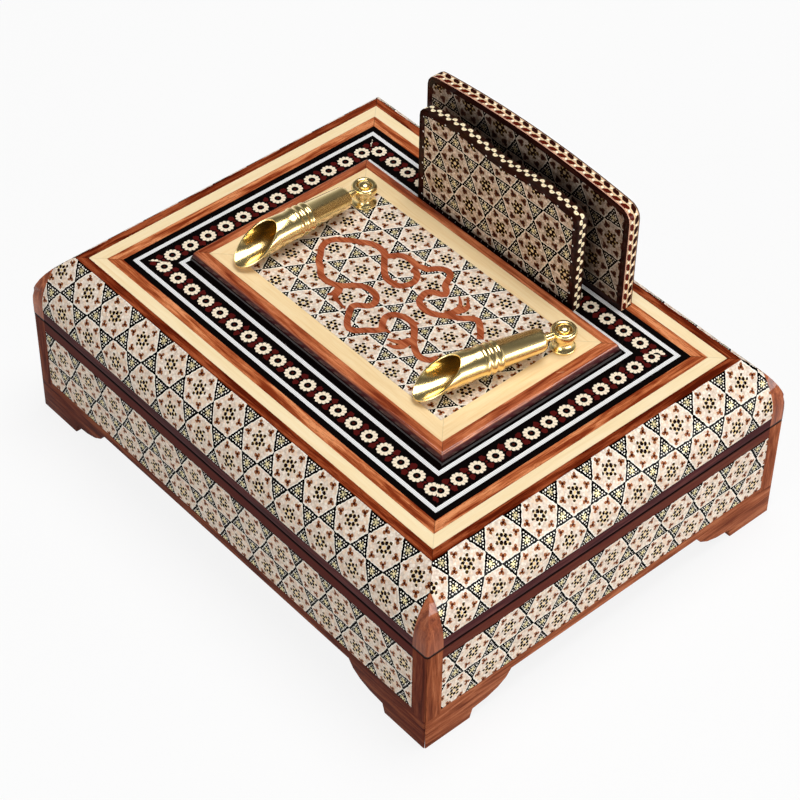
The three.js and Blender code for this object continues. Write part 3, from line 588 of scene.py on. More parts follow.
@dataclass(frozen=True)
class Wood(Finish):
    """Lacquered wood with streaks and pores along its grain.

    A FRAME grain follows each side of a mitred rectangle, with a fine dark line at the mitres.
    """

    # How the noises are scaled along the grain, or along and across it
    BROAD = 0.035
    FINE = (0.12, 3.2, 3.2)
    PORES = (0.35, 7.0, 7.0)

    SPREAD = 0.16
    PORE_LEVEL = 0.64
    GRAIN_STEP = 300.0
    MITRE_HALF = 0.22
    # Painted shade in the gap at the seam between box and lid: its half height and its colour
    SEAM_SHADE_HALF = 0.95
    SEAM_SHADE_COLOUR = tint(18, 7, 7)
    MITRE_DARK = tint(40, 16, 8)
    # Painted shade at the foot of the panel's moulded edge
    SKIRT_SHADE_COLOUR = tint(16, 7, 7)

    dark: Colour
    middle: Colour
    light: Colour
    grain: Grain = Grain.LONG
    half_x: float = HALF_LONG
    half_y: float = HALF_SHORT
    streak: float = 2.6
    contrast: float = 1.0
    coat: float = 0.2
    rough: float = 0.42
    mitre: float = 0.6
    # Whether painted shade darkens the wood towards the gap at the seam between box and lid
    seam: bool = False
    # The moulded edge's dark purple wood below skirt_height; lower down it fades into painted shade
    skirt: Colour | None = None
    skirt_height: float = 0.0

    def along(self, graph: Graph) -> tuple[Socket, Socket | None]:
        """The point with its first axis along the grain, and the mask of the mitre line.

        Args:
            graph: The material's nodes.

        Returns:
            The turned point in millimetres, and the mitre's mask for a FRAME grain.
        """
        if self.grain is Grain.FRAME:
            at = graph.insets(self.half_x, self.half_y)
            with_long = graph.join(at["x"], at["y"], at["z"])
            with_short = graph.join(at["y"], at["x"], at["z"])
            gap = graph.size(graph.minus(at["end"], at["side"]))
            turned = graph.pick_vector(at["long"], with_short, with_long)
            turned = graph.vec("ADD", turned, graph.join(graph.times(at["long"], self.GRAIN_STEP), 0.0))
            return turned, graph.below(gap, self.MITRE_HALF)
        x, y, z = graph.split(graph.place())
        order = {Grain.LONG: (x, y, z), Grain.SHORT: (y, x, z), Grain.UP: (z, x, y)}[self.grain]
        return graph.join(*order), None

    def streaks(self, graph: Graph, point: Socket) -> tuple[Socket, ...]:
        """Streaks and pores of the wood.

        Args:
            graph: The material's nodes.
            point: The point with its first axis along the grain.

        Returns:
            The colour, and the broad and the fine noise that it comes from.
        """
        broad = graph.stretched(point, (self.BROAD, 1 / self.streak, 1 / self.streak), 4.0, 0.7)
        fine = graph.stretched(point, self.FINE, 3.0)
        share = graph.plus(graph.times(broad, 0.72), graph.times(fine, 0.28))
        spread = self.SPREAD / self.contrast
        colour = graph.ramp(share, (0.5 - spread, self.dark), (0.5, self.middle), (0.5 + spread, self.light))
        pores = graph.above(graph.stretched(point, self.PORES, 1.0), self.PORE_LEVEL)
        pores = graph.times(pores, 0.5 * self.contrast)
        return graph.blend(pores, colour, self.dark), broad, fine

    def lacquer(self, graph: Graph, colour: object, broad: object, fine: object) -> None:
        """Set the shader of the lacquered wood, with painted shade in the gap at the seam.

        Args:
            graph: The material's nodes.
            colour: Colour of the wood.
            broad: Its broad noise, from 0 to 1.
            fine: Its fine noise, from 0 to 1.
        """
        # Painted shade: the colour darkens towards the gap at the seam, where the gap's shadow falls
        if self.seam:
            height = graph.split(graph.place())[2]
            near = graph.size(graph.minus(height, (SEAM + LID_BASE) / 2))
            seam_shade = graph.times(graph.minus(self.SEAM_SHADE_HALF, near), 2.5, clamp=True)
            colour = graph.blend(graph.times(seam_shade, 0.9), colour, self.SEAM_SHADE_COLOUR)
        rough = graph.plus(self.rough, graph.times(fine, 0.1))
        graph.surface(colour, rough, coat=self.coat, specular=0.0)
        graph.relief(broad, 0.10, 0.25, coat=True)

    def paint(self, graph: Graph) -> None:
        """Lay out the streaks, the pores, the mitre lines, the moulded edge's dark wood fading lower down
        into painted shade, and the lacquer.

        Args:
            graph: The material's nodes.
        """
        point, mitre = self.along(graph)
        colour, broad, fine = self.streaks(graph, point)
        if mitre is not None:
            colour = graph.blend(graph.times(mitre, self.mitre), colour, self.MITRE_DARK)
        # Below skirt_height the wood turns the moulding's dark purple, then fades towards the foot into
        # painted shade
        if self.skirt is not None:
            fall = graph.minus(self.skirt_height, graph.split(graph.place())[2])
            low = graph.times(fall, 1.6, clamp=True)
            lower = graph.times(graph.minus(fall, 1.2), 0.6, clamp=True)
            colour = graph.blend(low, colour, graph.blend(lower, self.skirt, self.SKIRT_SHADE_COLOUR))
        self.lacquer(graph, colour, broad, fine)


@dataclass(frozen=True)
class BoardWood(Wood):
    """Side board of the box: upright grain at the corners and a darker strip under the seam."""

    LEVEL_STEP = 60.0

    coat: float = 0.1
    strip: Colour = tint(96, 42, 36)
    strip_dark: Colour = tint(62, 22, 22)
    field_top: float = 48.3
    post: float = 8.0
    post_foot: float = 16.0

    def paint(self, graph: Graph) -> None:
        """Lay out the posts, the rail and the strip.

        Args:
            graph: The material's nodes.
        """
        at = graph.insets()
        is_long = self.grain is Grain.LONG
        along, end = (at["x"], at["end"]) if is_long else (at["y"], at["side"])
        across = at["y"] if is_long else at["x"]
        post = graph.both(graph.below(end, self.post), graph.above(at["z"], self.post_foot))
        level = graph.join(along, graph.plus(at["z"], self.LEVEL_STEP), across)
        upright = graph.join(at["z"], graph.times(along, 0.8), across)
        colour, broad, fine = self.streaks(graph, graph.pick_vector(post, level, upright))
        strip = graph.both(graph.flip(post), graph.above(at["z"], self.field_top))
        shade = graph.blend(broad, self.strip, self.strip_dark)
        colour = graph.blend(graph.times(strip, 0.85), colour, shade)
        self.lacquer(graph, colour, broad, fine)


class BySide(NamedTuple):
    """A number for each side of the lid."""

    front: float
    right: float
    back: float
    left: float


@dataclass(frozen=True)
class FlowerBand(Finish):
    """Black ground with one row of scalloped bone flowers and dark red blotches between them."""

    PETALS = 11
    GAP_SHARE = 0.16
    SCALLOP = 0.17
    SCALLOP_FOOT = 0.84

    black: Colour = tint(8, 5, 5)
    worn: Colour = tint(50, 30, 24)
    petal: Colour = tint(246, 230, 204)
    gap: Colour = tint(168, 150, 124)
    red: Colour = tint(80, 20, 18)
    heart: Colour = tint(62, 20, 14)
    radius: float = 3.45
    hole: float = 1.5
    heart_radius: float = 0.55
    gap_start: float = 2.0
    blotch_off: float = 2.3
    blotch_least: float = 0.3
    blotch_spread: float = 2.2
    half: float = 4.6
    pitch: BySide = BySide(front=9.217, right=9.37, back=9.37, left=9.37)
    phase: BySide = BySide(front=0.95, right=-0.15, back=2.8, left=-4.15)
    inset: BySide = BySide(front=38.8, right=38.6, back=38.4, left=39.4)

    def paint(self, graph: Graph) -> None:
        """Lay out the row along each side, as the sides were cut.

        Args:
            graph: The material's nodes.
        """
        at = graph.insets()
        front = graph.below(at["y"], 0.0)
        right = graph.above(at["x"], 0.0)

        def by_side(value: BySide) -> Socket:
            """The number of the side that a point lies on."""
            short = graph.pick(right, value.left, value.right)
            return graph.pick(at["long"], short, graph.pick(front, value.back, value.front))

        pitch = by_side(self.pitch)
        along = graph.minus(graph.pick(at["long"], at["y"], at["x"]), by_side(self.phase))
        across = graph.minus(at["least"], by_side(self.inset))

        here = graph.join(graph.within(along, pitch, 0.5), across)
        away = graph.vec("LENGTH", here)
        east, north, _ = graph.split(here)
        angle = graph.calc("ARCTAN2", north, east)
        wave = graph.size(graph.calc("COSINE", graph.times(angle, self.PETALS / 2)))
        edge = graph.times(graph.plus(graph.times(wave, self.SCALLOP), self.SCALLOP_FOOT), self.radius)
        flower = graph.below(away, edge)
        gaps = graph.both(graph.below(wave, self.GAP_SHARE), graph.above(away, self.gap_start))

        between = graph.join(graph.within(along, pitch), graph.size(across))
        wobble = graph.noise(graph.place(), 0.8)
        size = graph.plus(graph.times(wobble, self.blotch_spread), self.blotch_least)
        blotches = graph.any_of(graph.spot(between, 0.0, self.blotch_off, size),
                                graph.spot(between, 0.0, 0.0, graph.times(size, 0.45)))
        ground = graph.blend(graph.times(wobble, 0.03), self.black, self.worn)
        colour = graph.layers(
            ground,
            (blotches, self.red),
            (flower, self.petal),
            (graph.both(flower, gaps), self.gap),
            (graph.below(away, self.hole), self.black),
            (graph.below(away, self.heart_radius), self.heart),
            (graph.flip(graph.below(graph.size(across), self.half)), ground),
        )
        graph.surface(colour, 0.4, coat=0.15, specular=0.0)


@dataclass(frozen=True)
class SilverLine(Finish):
    """White metal line with two fine grey lines in it."""

    middle: float
    light: Colour = tint(255, 255, 252)
    dull: Colour = tint(240, 240, 240)
    groove: Colour = tint(150, 148, 154)
    groove_off: float = 0.36
    groove_half: float = 0.1

    def paint(self, graph: Graph) -> None:
        """Lay out the two fine lines by their inset from the lid's edge.

        Args:
            graph: The material's nodes.
        """
        least = graph.insets()["least"]
        off = graph.size(graph.minus(least, self.middle))
        grooves = graph.below(graph.size(graph.minus(off, self.groove_off)), self.groove_half)
        metal = graph.blend(graph.noise(least, 0.4), self.light, self.dull)
        colour = graph.blend(graph.times(grooves, 0.45), metal, self.groove)
        graph.surface(colour, 0.35, 0.1, coat=0.4)


class EdgePattern(Enum):
    """Pattern of the strip round a rack leaf."""

    CHECKS = "two staggered rows of dark checks on cream"
    BEADS = "a zigzag of cream beads on dark wood"


@dataclass(frozen=True)
class Edging(Finish):
    """Strip round a rack leaf: its chart runs along the outline and across the thickness."""

    # Shares of the thickness
    ROW_OFF = 0.215
    ZIGZAG_OFF = 0.125
    CHECK_HALF = 0.185
    SIDE_LINE = 0.415
    FACE_LINE = 0.493
    FRONT_LINE = 0.06

    # Shares of the pitch
    CHECK_REACH = 0.36
    BEAD = 0.24
    BEAD_RIM = 0.27

    # Radii in millimetres
    SHELL = 0.75
    RING = 0.72
    RING_HALF = 0.13
    BEAD_HOLE = 0.32

    pattern: EdgePattern
    thick: float
    pitch: float

    def paint(self, graph: Graph) -> None:
        """Lay out the checks or the beads.

        Args:
            graph: The material's nodes.
        """
        along, across, _ = graph.split(graph.chart())
        row = graph.above(across, self.thick / 2)
        part = graph.within(along, self.pitch, graph.times(row, 0.5))
        from_middle = graph.size(graph.minus(across, self.thick / 2))
        if self.pattern is EdgePattern.CHECKS:
            colour = self.checks(graph, part, across, from_middle, row)
        else:
            colour = self.beads(graph, part, from_middle)
        graph.surface(colour, 0.4, coat=0.15, specular=0.0)

    def checks(self, graph: Graph, part: object, across: object, from_middle: object,
               row: object) -> Socket:
        """Leaning dark checks in two rows on cream, with fine rings between them.

        Args:
            graph: The material's nodes.
            part: Length along the strip from the middle of a check.
            across: Length across the strip from its front edge.
            from_middle: Length across the strip from its middle.
            row: Mask of the rear row.

        Returns:
            The colour.
        """
        off = graph.minus(from_middle, self.thick * self.ROW_OFF)
        lean = graph.size(graph.plus(part, graph.times(off, 0.6)))
        inner = graph.times(graph.size(off), 0.55)
        check = graph.both(graph.below(graph.plus(lean, inner), self.pitch * self.CHECK_REACH),
                           graph.below(graph.size(off), self.thick * self.CHECK_HALF))
        cream = graph.blend(graph.noise(graph.place(), 1.1), tint(250, 226, 186), tint(214, 166, 122))
        away = graph.vec("LENGTH", graph.join(graph.minus(graph.size(part), self.pitch / 2), off))
        ring = graph.below(graph.size(graph.minus(away, self.RING)), self.RING_HALF)
        return graph.layers(
            cream,
            (graph.below(away, self.SHELL), tint(255, 244, 216)),
            (graph.times(ring, 0.6), tint(150, 84, 50)),
            (check, graph.blend(row, tint(88, 22, 12), tint(46, 14, 9))),
            (graph.above(from_middle, self.thick * self.SIDE_LINE), tint(74, 24, 18)),
            (graph.below(across, self.thick * self.FRONT_LINE), tint(236, 176, 150)),
            (graph.above(from_middle, self.thick * self.FACE_LINE), tint(48, 20, 15)),
        )

    def beads(self, graph: Graph, part: object, from_middle: object) -> Socket:
        """A zigzag of cream beads on dark wood.

        Args:
            graph: The material's nodes.
            part: Length along the strip from the middle of a bead.
            from_middle: Length across the strip from its middle.

        Returns:
            The colour.
        """
        wood = graph.blend(graph.noise(graph.place(), 0.9), tint(26, 12, 9), tint(52, 26, 18))
        off = graph.minus(from_middle, self.thick * self.ZIGZAG_OFF)
        away = graph.vec("LENGTH", graph.join(part, off))
        return graph.layers(
            wood,
            (graph.below(away, self.pitch * self.BEAD_RIM), tint(120, 78, 46)),
            (graph.below(away, self.pitch * self.BEAD), tint(246, 232, 196)),
            (graph.below(away, self.BEAD_HOLE), tint(216, 182, 128)),
        )


@dataclass(frozen=True)
class DottedWood(Wood):
    """Dark wood with small white points along the border of a rack leaf's face."""

    spacing: float = 8.4
    inset: float = 2.45
    dot_radius: float = 0.4
    dot: Colour = tint(238, 232, 222)

    def paint(self, graph: Graph) -> None:
        """Lay out the wood, then the points on the chart that follows the border.

        Args:
            graph: The material's nodes.
        """
        super().paint(graph)
        under = graph.shader.inputs["Base Color"].links[0].from_socket
        along, inward, _ = graph.split(graph.chart())
        place = graph.join(graph.within(along, self.spacing), inward)
        dots = graph.spot(place, 0.0, self.inset, self.dot_radius)
        graph.feed(graph.shader.inputs["Base Color"], graph.blend(dots, under, self.dot))


@dataclass(frozen=True)
class Brass(Finish):
    """Brass, polished on a lathe or plain rolled."""

    colour: Colour = tint(255, 232, 168)
    toned: Colour = tint(246, 208, 124)
    rough: float = 0.2
    coat: float = 0.35

    def paint(self, graph: Graph) -> None:
        """Lay out the cloudy polish and the fine unevenness of the gloss.

        Args:
            graph: The material's nodes.
        """
        at = graph.place()
        cloud = graph.noise(at, 0.16, 3.0)
        fine = graph.noise(graph.vec("MULTIPLY", at, (1.0, 9.0, 1.0)), 0.5)
        colour = graph.blend(graph.times(cloud, 0.6), self.colour, self.toned)
        rough = graph.plus(self.rough, graph.times(fine, 0.04))
        graph.surface(colour, rough, 1.0, coat=self.coat, coat_roughness=0.12)


RAIL = Wood("lid_rail_wood", "strip_wood", tint(40, 12, 14), tint(70, 26, 28), tint(112, 54, 48),
            contrast=0.7, coat=0.15, seam=True)
MITRED = {"grain": Grain.FRAME}
MAPLE = MITRED | {"contrast": 0.6, "streak": 1.8, "mitre": 0.15}
WOODS = {
    # The long boards are darker and the short boards lighter: partly painted shade on the front and painted
    # light on the right side, where the lamp falls
    "board": BoardWood("board_wood", "carcase_wood", tint(58, 18, 10), tint(104, 44, 26), tint(142, 76, 46),
                       seam=True),
    "board_short": BoardWood("board_wood_short", "carcase_wood", tint(92, 38, 20), tint(150, 80, 48),
                             tint(190, 118, 80), grain=Grain.SHORT, seam=True),
    "rail": RAIL,
    "rail_short": replace(RAIL, name="lid_rail_wood_short", grain=Grain.SHORT),
    "leaf": Wood("corner_leaf_wood", "orange_wood", tint(100, 40, 18), tint(150, 76, 42), tint(190, 110, 70),
                 grain=Grain.UP, seam=True, coat=0.5),
    "rosewood": Wood("rosewood_band", "carcase_wood", tint(82, 22, 6), tint(126, 50, 22), tint(166, 84, 48),
                     contrast=1.7, **MITRED),
    "orange": Wood("orange_band", "orange_wood", tint(128, 50, 22), tint(190, 104, 60), tint(228, 150, 100),
                   contrast=1.7, **MITRED),
    "panel": Wood("panel_wood", "orange_wood", tint(118, 44, 18), tint(172, 88, 50), tint(214, 130, 84),
                  half_x=77.5, half_y=48.05, contrast=1.3, coat=1.0, skirt=tint(74, 34, 36),
                  skirt_height=PANEL_TOP - 0.6, **MITRED),
    "maple": Wood("maple_band", "maple", tint(240, 212, 160), tint(249, 226, 182), tint(253, 236, 200),
                  **MAPLE),
    "panel_maple": Wood("panel_maple_band", "maple", tint(236, 200, 146), tint(247, 218, 168),
                        tint(252, 230, 188), half_x=71.5, half_y=42.55, **MAPLE),
    "scroll": Wood("scroll_wood", "orange_wood", tint(122, 52, 28), tint(166, 84, 52), tint(196, 116, 76),
                   streak=1.6),
    "plain": Wood("bare_wood", "plain_wood", tint(176, 126, 78), tint(204, 158, 108), tint(222, 182, 134),
                  coat=0.1, rough=0.5, contrast=0.7),
}
KHATAM = Khatam("khatam_sheet", "khatam")
PANEL_KHATAM = Khatam("panel_khatam", "khatam", band=0.0, rim=0.42)
# The racks' khatam: a browner tone, with a darker ground that is partly painted shade on the upright leaves
RACK_WARM_SHADED_KHATAM = Khatam("rack_khatam", "khatam", coat=0.05, band=0.1, rim=0.36, swell=1.25,
                     ground=tint(244, 222, 198), ground_dark=tint(140, 112, 88), warm=tint(190, 150, 112),
                     bone=tint(240, 224, 200), copper=tint(92, 48, 28), umber=tint(46, 14, 8))
# The rear leaf's khatam: the racks' khatam made darker still, as painted shade for the shadow between the two
# leaves
REAR_SHADED_KHATAM = replace(RACK_WARM_SHADED_KHATAM, name="rear_rack_khatam", coat=0.03,
                      ground=tint(186, 166, 148), ground_dark=tint(104, 84, 70), warm=tint(150, 118, 92),
                      bone=tint(190, 174, 156), brass=tint(170, 140, 90), pale_brass=tint(180, 160, 120),
                      copper=tint(74, 40, 26), umber=tint(48, 18, 12))
POLISHED = Brass("lathe_brass", "polished_brass")
HINGE = Brass("rolled_brass", "hinge_brass", tint(212, 168, 92), tint(186, 136, 66), rough=0.26, coat=0.05)


class Bench:
    """The few moves of modelling by hand that every sub-assembly uses."""

    MERGE = 0.002

    @staticmethod
    def clear() -> None:
        """Leave nothing selected."""
        for item in bpy.context.selected_objects:
            item.select_set(False)
        bpy.context.view_layer.objects.active = None

    @staticmethod
    def take(item: bpy.types.Object) -> None:
        """Select one object alone.

        Args:
            item: The object.
        """
        Bench.clear()
        item.select_set(True)
        bpy.context.view_layer.objects.active = item

    @staticmethod
    @contextmanager
    def edit(item: bpy.types.Object) -> Iterator[None]:
        """Work on one object in edit mode.

        Args:
            item: The object.

        Yields:
            Nothing; edit mode ends with the block.
        """
        Bench.take(item)
        bpy.ops.object.mode_set(mode="EDIT")
        try:
            yield
        finally:
            bpy.ops.object.mode_set(mode="OBJECT")

    @staticmethod
    def pick(item: bpy.types.Object, kind: str, test: Test) -> None:
        """Select the edges or faces whose middle passes a test, in edit mode.

        Args:
            item: The object in edit mode.
            kind: EDGE or FACE.
            test: Says whether a point in metres is wanted.
        """
        bpy.ops.mesh.select_mode(type=kind)
        bpy.ops.mesh.select_all(action="DESELECT")
        work = bmesh.from_edit_mesh(item.data)
        for element in work.edges if kind == "EDGE" else work.faces:
            if kind == "EDGE":
                middle = (element.verts[0].co + element.verts[1].co) / 2
            else:
                middle = element.calc_center_median()
            if test(middle):
                element.select_set(True)
        work.select_flush_mode()
        bmesh.update_edit_mesh(item.data)

    @staticmethod
    def round_edges(item: bpy.types.Object, test: Test, radius: float, segments: int = 3,
                    profile: float = 0.5) -> None:
        """Round the edges whose middle passes a test, on a piece that is being edited.

        Args:
            item: The piece.
            test: Says whether an edge's middle, in metres, is wanted.
            radius: How far the rounding reaches.
            segments: Faces across it.
            profile: Its fullness; 0.5 is round.
        """
        Bench.pick(item, "EDGE", test)
        bpy.ops.mesh.bevel(offset=radius * MM, segments=segments, profile=profile, affect="EDGES",
                           clamp_overlap=True)

    @staticmethod
    def rounder(test: Test, radius: float, segments: int = 3) -> Shaper:
        """Make a step that rounds the edges whose middle passes a test.

        Args:
            test: Says whether an edge's middle, in metres, is wanted.
            radius: How far the rounding reaches.
            segments: Faces across it.

        Returns:
            The step, to be done on a piece.
        """
        def rounded(item: bpy.types.Object) -> None:
            """Round the edges of one piece.

            Args:
                item: The piece.
            """
            with Bench.edit(item):
                Bench.round_edges(item, test, radius, segments)

        return rounded

    @staticmethod
    def settle(item: bpy.types.Object, place: Matrix | None = None) -> None:
        """Put an object's place into its mesh.

        Args:
            item: The object.
            place: Where it goes first, if it isn't there yet.
        """
        Bench.take(item)
        if place is not None:
            item.matrix_world = place
        bpy.ops.object.transform_apply(location=True, rotation=True, scale=True)

    @staticmethod
    def apply(item: bpy.types.Object, kind: str, **settings: object) -> None:
        """Add one modifier and apply it.

        Args:
            item: The object.
            kind: The modifier's type.
            settings: Its settings.
        """
        Bench.take(item)
        modifier = item.modifiers.new(kind.title(), kind)
        for key, setting in settings.items():
            setattr(modifier, key, setting)
        bpy.ops.object.modifier_apply(modifier=modifier.name)

    @staticmethod
    def smooth(item: bpy.types.Object, degrees: float = 35.0) -> None:
        """Smooth the shading except over sharp edges."""
        Bench.take(item)
        bpy.ops.object.shade_smooth_by_angle(angle=math.radians(degrees))

    @staticmethod
    def copy_of(node: str, name: str, flat_degrees: float = 1.0) -> bpy.types.Object:
        """Copy a CAD node's mesh as one merged, clean surface.

        Args:
            node: The CAD node.
            name: Name of the copy.
            flat_degrees: Faces flatter than this against each other become one.

        Returns:
            The copy, at the same place.
        """
        item = bpy.data.objects.new(name, bpy.data.objects[node].data.copy())
        bpy.context.scene.collection.objects.link(item)
        item.data.materials.clear()
        Bench.take(item)
        bpy.ops.mesh.customdata_custom_splitnormals_clear()
        with Bench.edit(item):
            bpy.ops.mesh.select_mode(type="VERT")
            bpy.ops.mesh.select_all(action="SELECT")
            bpy.ops.mesh.remove_doubles(threshold=Bench.MERGE * MM)
            bpy.ops.mesh.dissolve_limited(angle_limit=math.radians(flat_degrees))
            bpy.ops.mesh.normals_make_consistent(inside=False)
        return item

    @staticmethod
    def turn(name: str, rings: Sequence[tuple[float, float]], sides: int = 64,
             bored: bool = False) -> bpy.types.Object:
        """Turn a piece on a lathe: a disc at the first ring, drawn out from ring to ring.

        Args:
            name: Name of the piece.
            rings: Radius and height of each ring, from the bottom; heights may fall again.
            sides: Flats round the piece.
            bored: Join the last ring to the first by a bore in place of the two end faces.

        Returns:
            The closed piece, standing on the Z axis.
        """
        Bench.clear()
        (radius, height), *others = rings
        bpy.ops.mesh.primitive_circle_add(vertices=sides, radius=radius * MM, fill_type="NGON",
                                          location=(0.0, 0.0, height * MM))
        item = bpy.context.active_object
        item.name = name
        Bench.settle(item)
        with Bench.edit(item):
            bpy.ops.mesh.select_mode(type="FACE")
            bpy.ops.mesh.select_all(action="SELECT")
            for new_radius, new_height in others:
                rise = (0.0, 0.0, (new_height - height) * MM)
                middle = (0.0, 0.0, new_height * MM)
                scale = new_radius / radius
                bpy.ops.mesh.extrude_region_move(TRANSFORM_OT_translate={"value": rise})
                bpy.ops.transform.resize(value=(scale, scale, 1.0), center_override=middle)
                radius, height = new_radius, new_height
            if bored:
                bpy.ops.mesh.select_all(action="DESELECT")
                bpy.ops.mesh.select_face_by_sides(number=4, type="GREATER")
                bpy.ops.mesh.bridge_edge_loops()
            bpy.ops.mesh.select_all(action="SELECT")
            bpy.ops.mesh.normals_make_consistent(inside=False)
        return item


class Sheets:
    """Flat charts on the pieces whose pattern follows their surface."""

    CHART = "chart"

    @staticmethod
    def lay(item: bpy.types.Object, chart: Chart) -> None:
        """Lay a chart on a piece.

        Args:
            item: The piece.
            chart: Gives the chart's two lengths in millimetres for a point in millimetres and its
                face's normal.
        """
        layer = item.data.uv_layers.get(Sheets.CHART) or item.data.uv_layers.new(name=Sheets.CHART)
        for face in item.data.polygons:
            for corner in face.loop_indices:
                point = item.data.vertices[item.data.loops[corner].vertex_index].co / MM
                layer.data[corner].uv = chart(point, face.normal)


class Joiner:
    """Hands finished pieces to the frame."""

    @staticmethod
    def stand_in(item: bpy.types.Object, finish: Finish, body: str, *nodes: str) -> None:
        """Dress a piece, let it ride on a body and stand for its CAD nodes.

        Args:
            item: The piece.
            finish: Its finish.
            body: The body it moves with.
            nodes: The CAD nodes it stands for.
        """
        item.data.materials.clear()
        item.data.materials.append(finish.material())
        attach(item, body)
        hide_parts(*nodes)
        LOG.info("%s stands for %s on %s", item.name, ", ".join(nodes), body)

    @staticmethod
    def refine(node: str, name: str, finish: Finish, body: str, flat_degrees: float = 1.0,
               smooth: float | None = None, chart: Chart | None = None, shape: Shaper | None = None) -> None:
        """Put a finer copy of a CAD node in its place.

        Args:
            node: The CAD node.
            name: Name of the copy.
            finish: Its finish.
            body: The body it moves with.
            flat_degrees: Faces flatter than this against each other become one.
            smooth: Edges sharper than this many degrees stay sharp; None leaves the shading flat.
            chart: The chart that its pattern follows.
            shape: The step that works on its shape.
        """
        item = Bench.copy_of(node, name, flat_degrees)
        if shape is not None:
            shape(item)
        if chart is not None:
            Sheets.lay(item, chart)
        if smooth is not None:
            Bench.smooth(item, smooth)
        Joiner.stand_in(item, finish, body, node)

    @staticmethod
    def dress(node: str, finish: Finish) -> None:
        """Give a CAD node its finish in place.

        Args:
            node: The CAD node.
            finish: Its finish.
        """
        item = bpy.data.objects[node]
        if not item.material_slots:
            item.data.materials.append(finish.material())
        for slot in item.material_slots:
            slot.material = finish.material()
        LOG.info("%s keeps its solid and gets %s", node, finish.name)


@dataclass
class Side:
    """One side of the box: its name, whether it is long, and which way it faces."""

    name: str
    is_long: bool
    sign: float

    def run(self, point: Vector) -> float:
        """How far along the side a point lies, from the middle."""
        return point.x if self.is_long else point.y - MIDDLE_Y


SIDES = (
    Side("front", True, -1.0),
    Side("right", False, 1.0),
    Side("back", True, 1.0),
    Side("left", False, -1.0),
)


@dataclass(frozen=True)
class Row:
    """A row of hexagons along a side: its pitch, and one centre's place from the side's middle."""

    pitch: float
    start: float

    def chart(self, side: Side, up: Callable[[float], float]) -> Chart:
        """The chart of a side's khatam.

        Args:
            side: The side.
            up: Gives the length up from the row's centres for a height over the floor.

        Returns:
            The chart, on which centres stand as far apart as the finish has them.
        """
        scale = Khatam.PITCH / self.pitch

        def flat(point: Vector, normal: Vector) -> tuple[float, float]:
            """Length along the side and up from the row."""
            return (side.run(point) - self.start) * scale, up(point.z) * scale

        return flat


def depths(point: Vector) -> tuple[float, float, float]:
    """How far a point in metres lies inside the ends and the long sides, and its height, in millimetres."""
    x, y, z = point / MM
    return HALF_LONG - abs(x), HALF_SHORT - abs(y - MIDDLE_Y), z


@dataclass
class Carcase:
    """The box: four mitred boards with bracket feet, their khatam and the bottom."""

    FOOT_ARCH = 14.5

    round_over: float = 0.5
    corner: float = 1.6
    field_top: float = 48.3
    row_below_top: float = 8.05
    long_row: Row = Row(18.13, -105.47)
    short_row: Row = Row(18.32, -73.04)

    def outer(self, point: Vector) -> bool:
        """Whether an edge lies under or over a board's outer face.

        Args:
            point: The edge's middle, in metres.

        Returns:
            True where it does.
        """
        end, side, height = depths(point)
        on_one_face = (abs(end) < NEAR) != (abs(side) < NEAR)
        return on_one_face and (height < self.FOOT_ARCH or height > SEAM - TOUCH)

    def soften(self, item: bpy.types.Object, side: Side) -> None:
        """Round a board's outer edges, then cut its two upright corners to a small round over the mitres.

        Args:
            item: The board.
            side: Its side of the box.
        """
        with Bench.edit(item):
            Bench.round_edges(item, self.outer, self.round_over, segments=2, profile=0.6)
            for end in (-1.0, 1.0):
                sign_x, sign_y = (end, side.sign) if side.is_long else (side.sign, end)
                x, y = sign_x * (HALF_LONG - self.corner), MIDDLE_Y + sign_y * (HALF_SHORT - self.corner)
                for degrees in (45.0, 67.5 if side.is_long else 22.5):
                    angle = math.radians(degrees)
                    facing = Vector((sign_x * math.cos(angle), sign_y * math.sin(angle), 0.0))
                    touching = (Vector((x, y, 0.0)) + facing * self.corner) * MM
                    bpy.ops.mesh.select_all(action="SELECT")
                    bpy.ops.mesh.bisect(plane_co=touching, plane_no=facing,
                                        use_fill=True, clear_outer=True, clear_inner=False)

    def build(self) -> None:
        """Dress the boards, lay the khatam and give the bottom its wood."""
        centres = self.field_top - self.row_below_top
        for side in SIDES:
            row, wood = (self.long_row, "board") if side.is_long else (self.short_row, "board_short")
            Joiner.refine(f"{side.name}_board", f"{side.name}_side_board", WOODS[wood], "box", smooth=30,
                          shape=lambda item: self.soften(item, side))
            Joiner.refine(f"{side.name}_khatam", f"{side.name}_side_khatam", KHATAM, "box",
                          chart=row.chart(side, lambda height: height - centres))
        Joiner.dress("bottom_panel", WOODS["plain"])


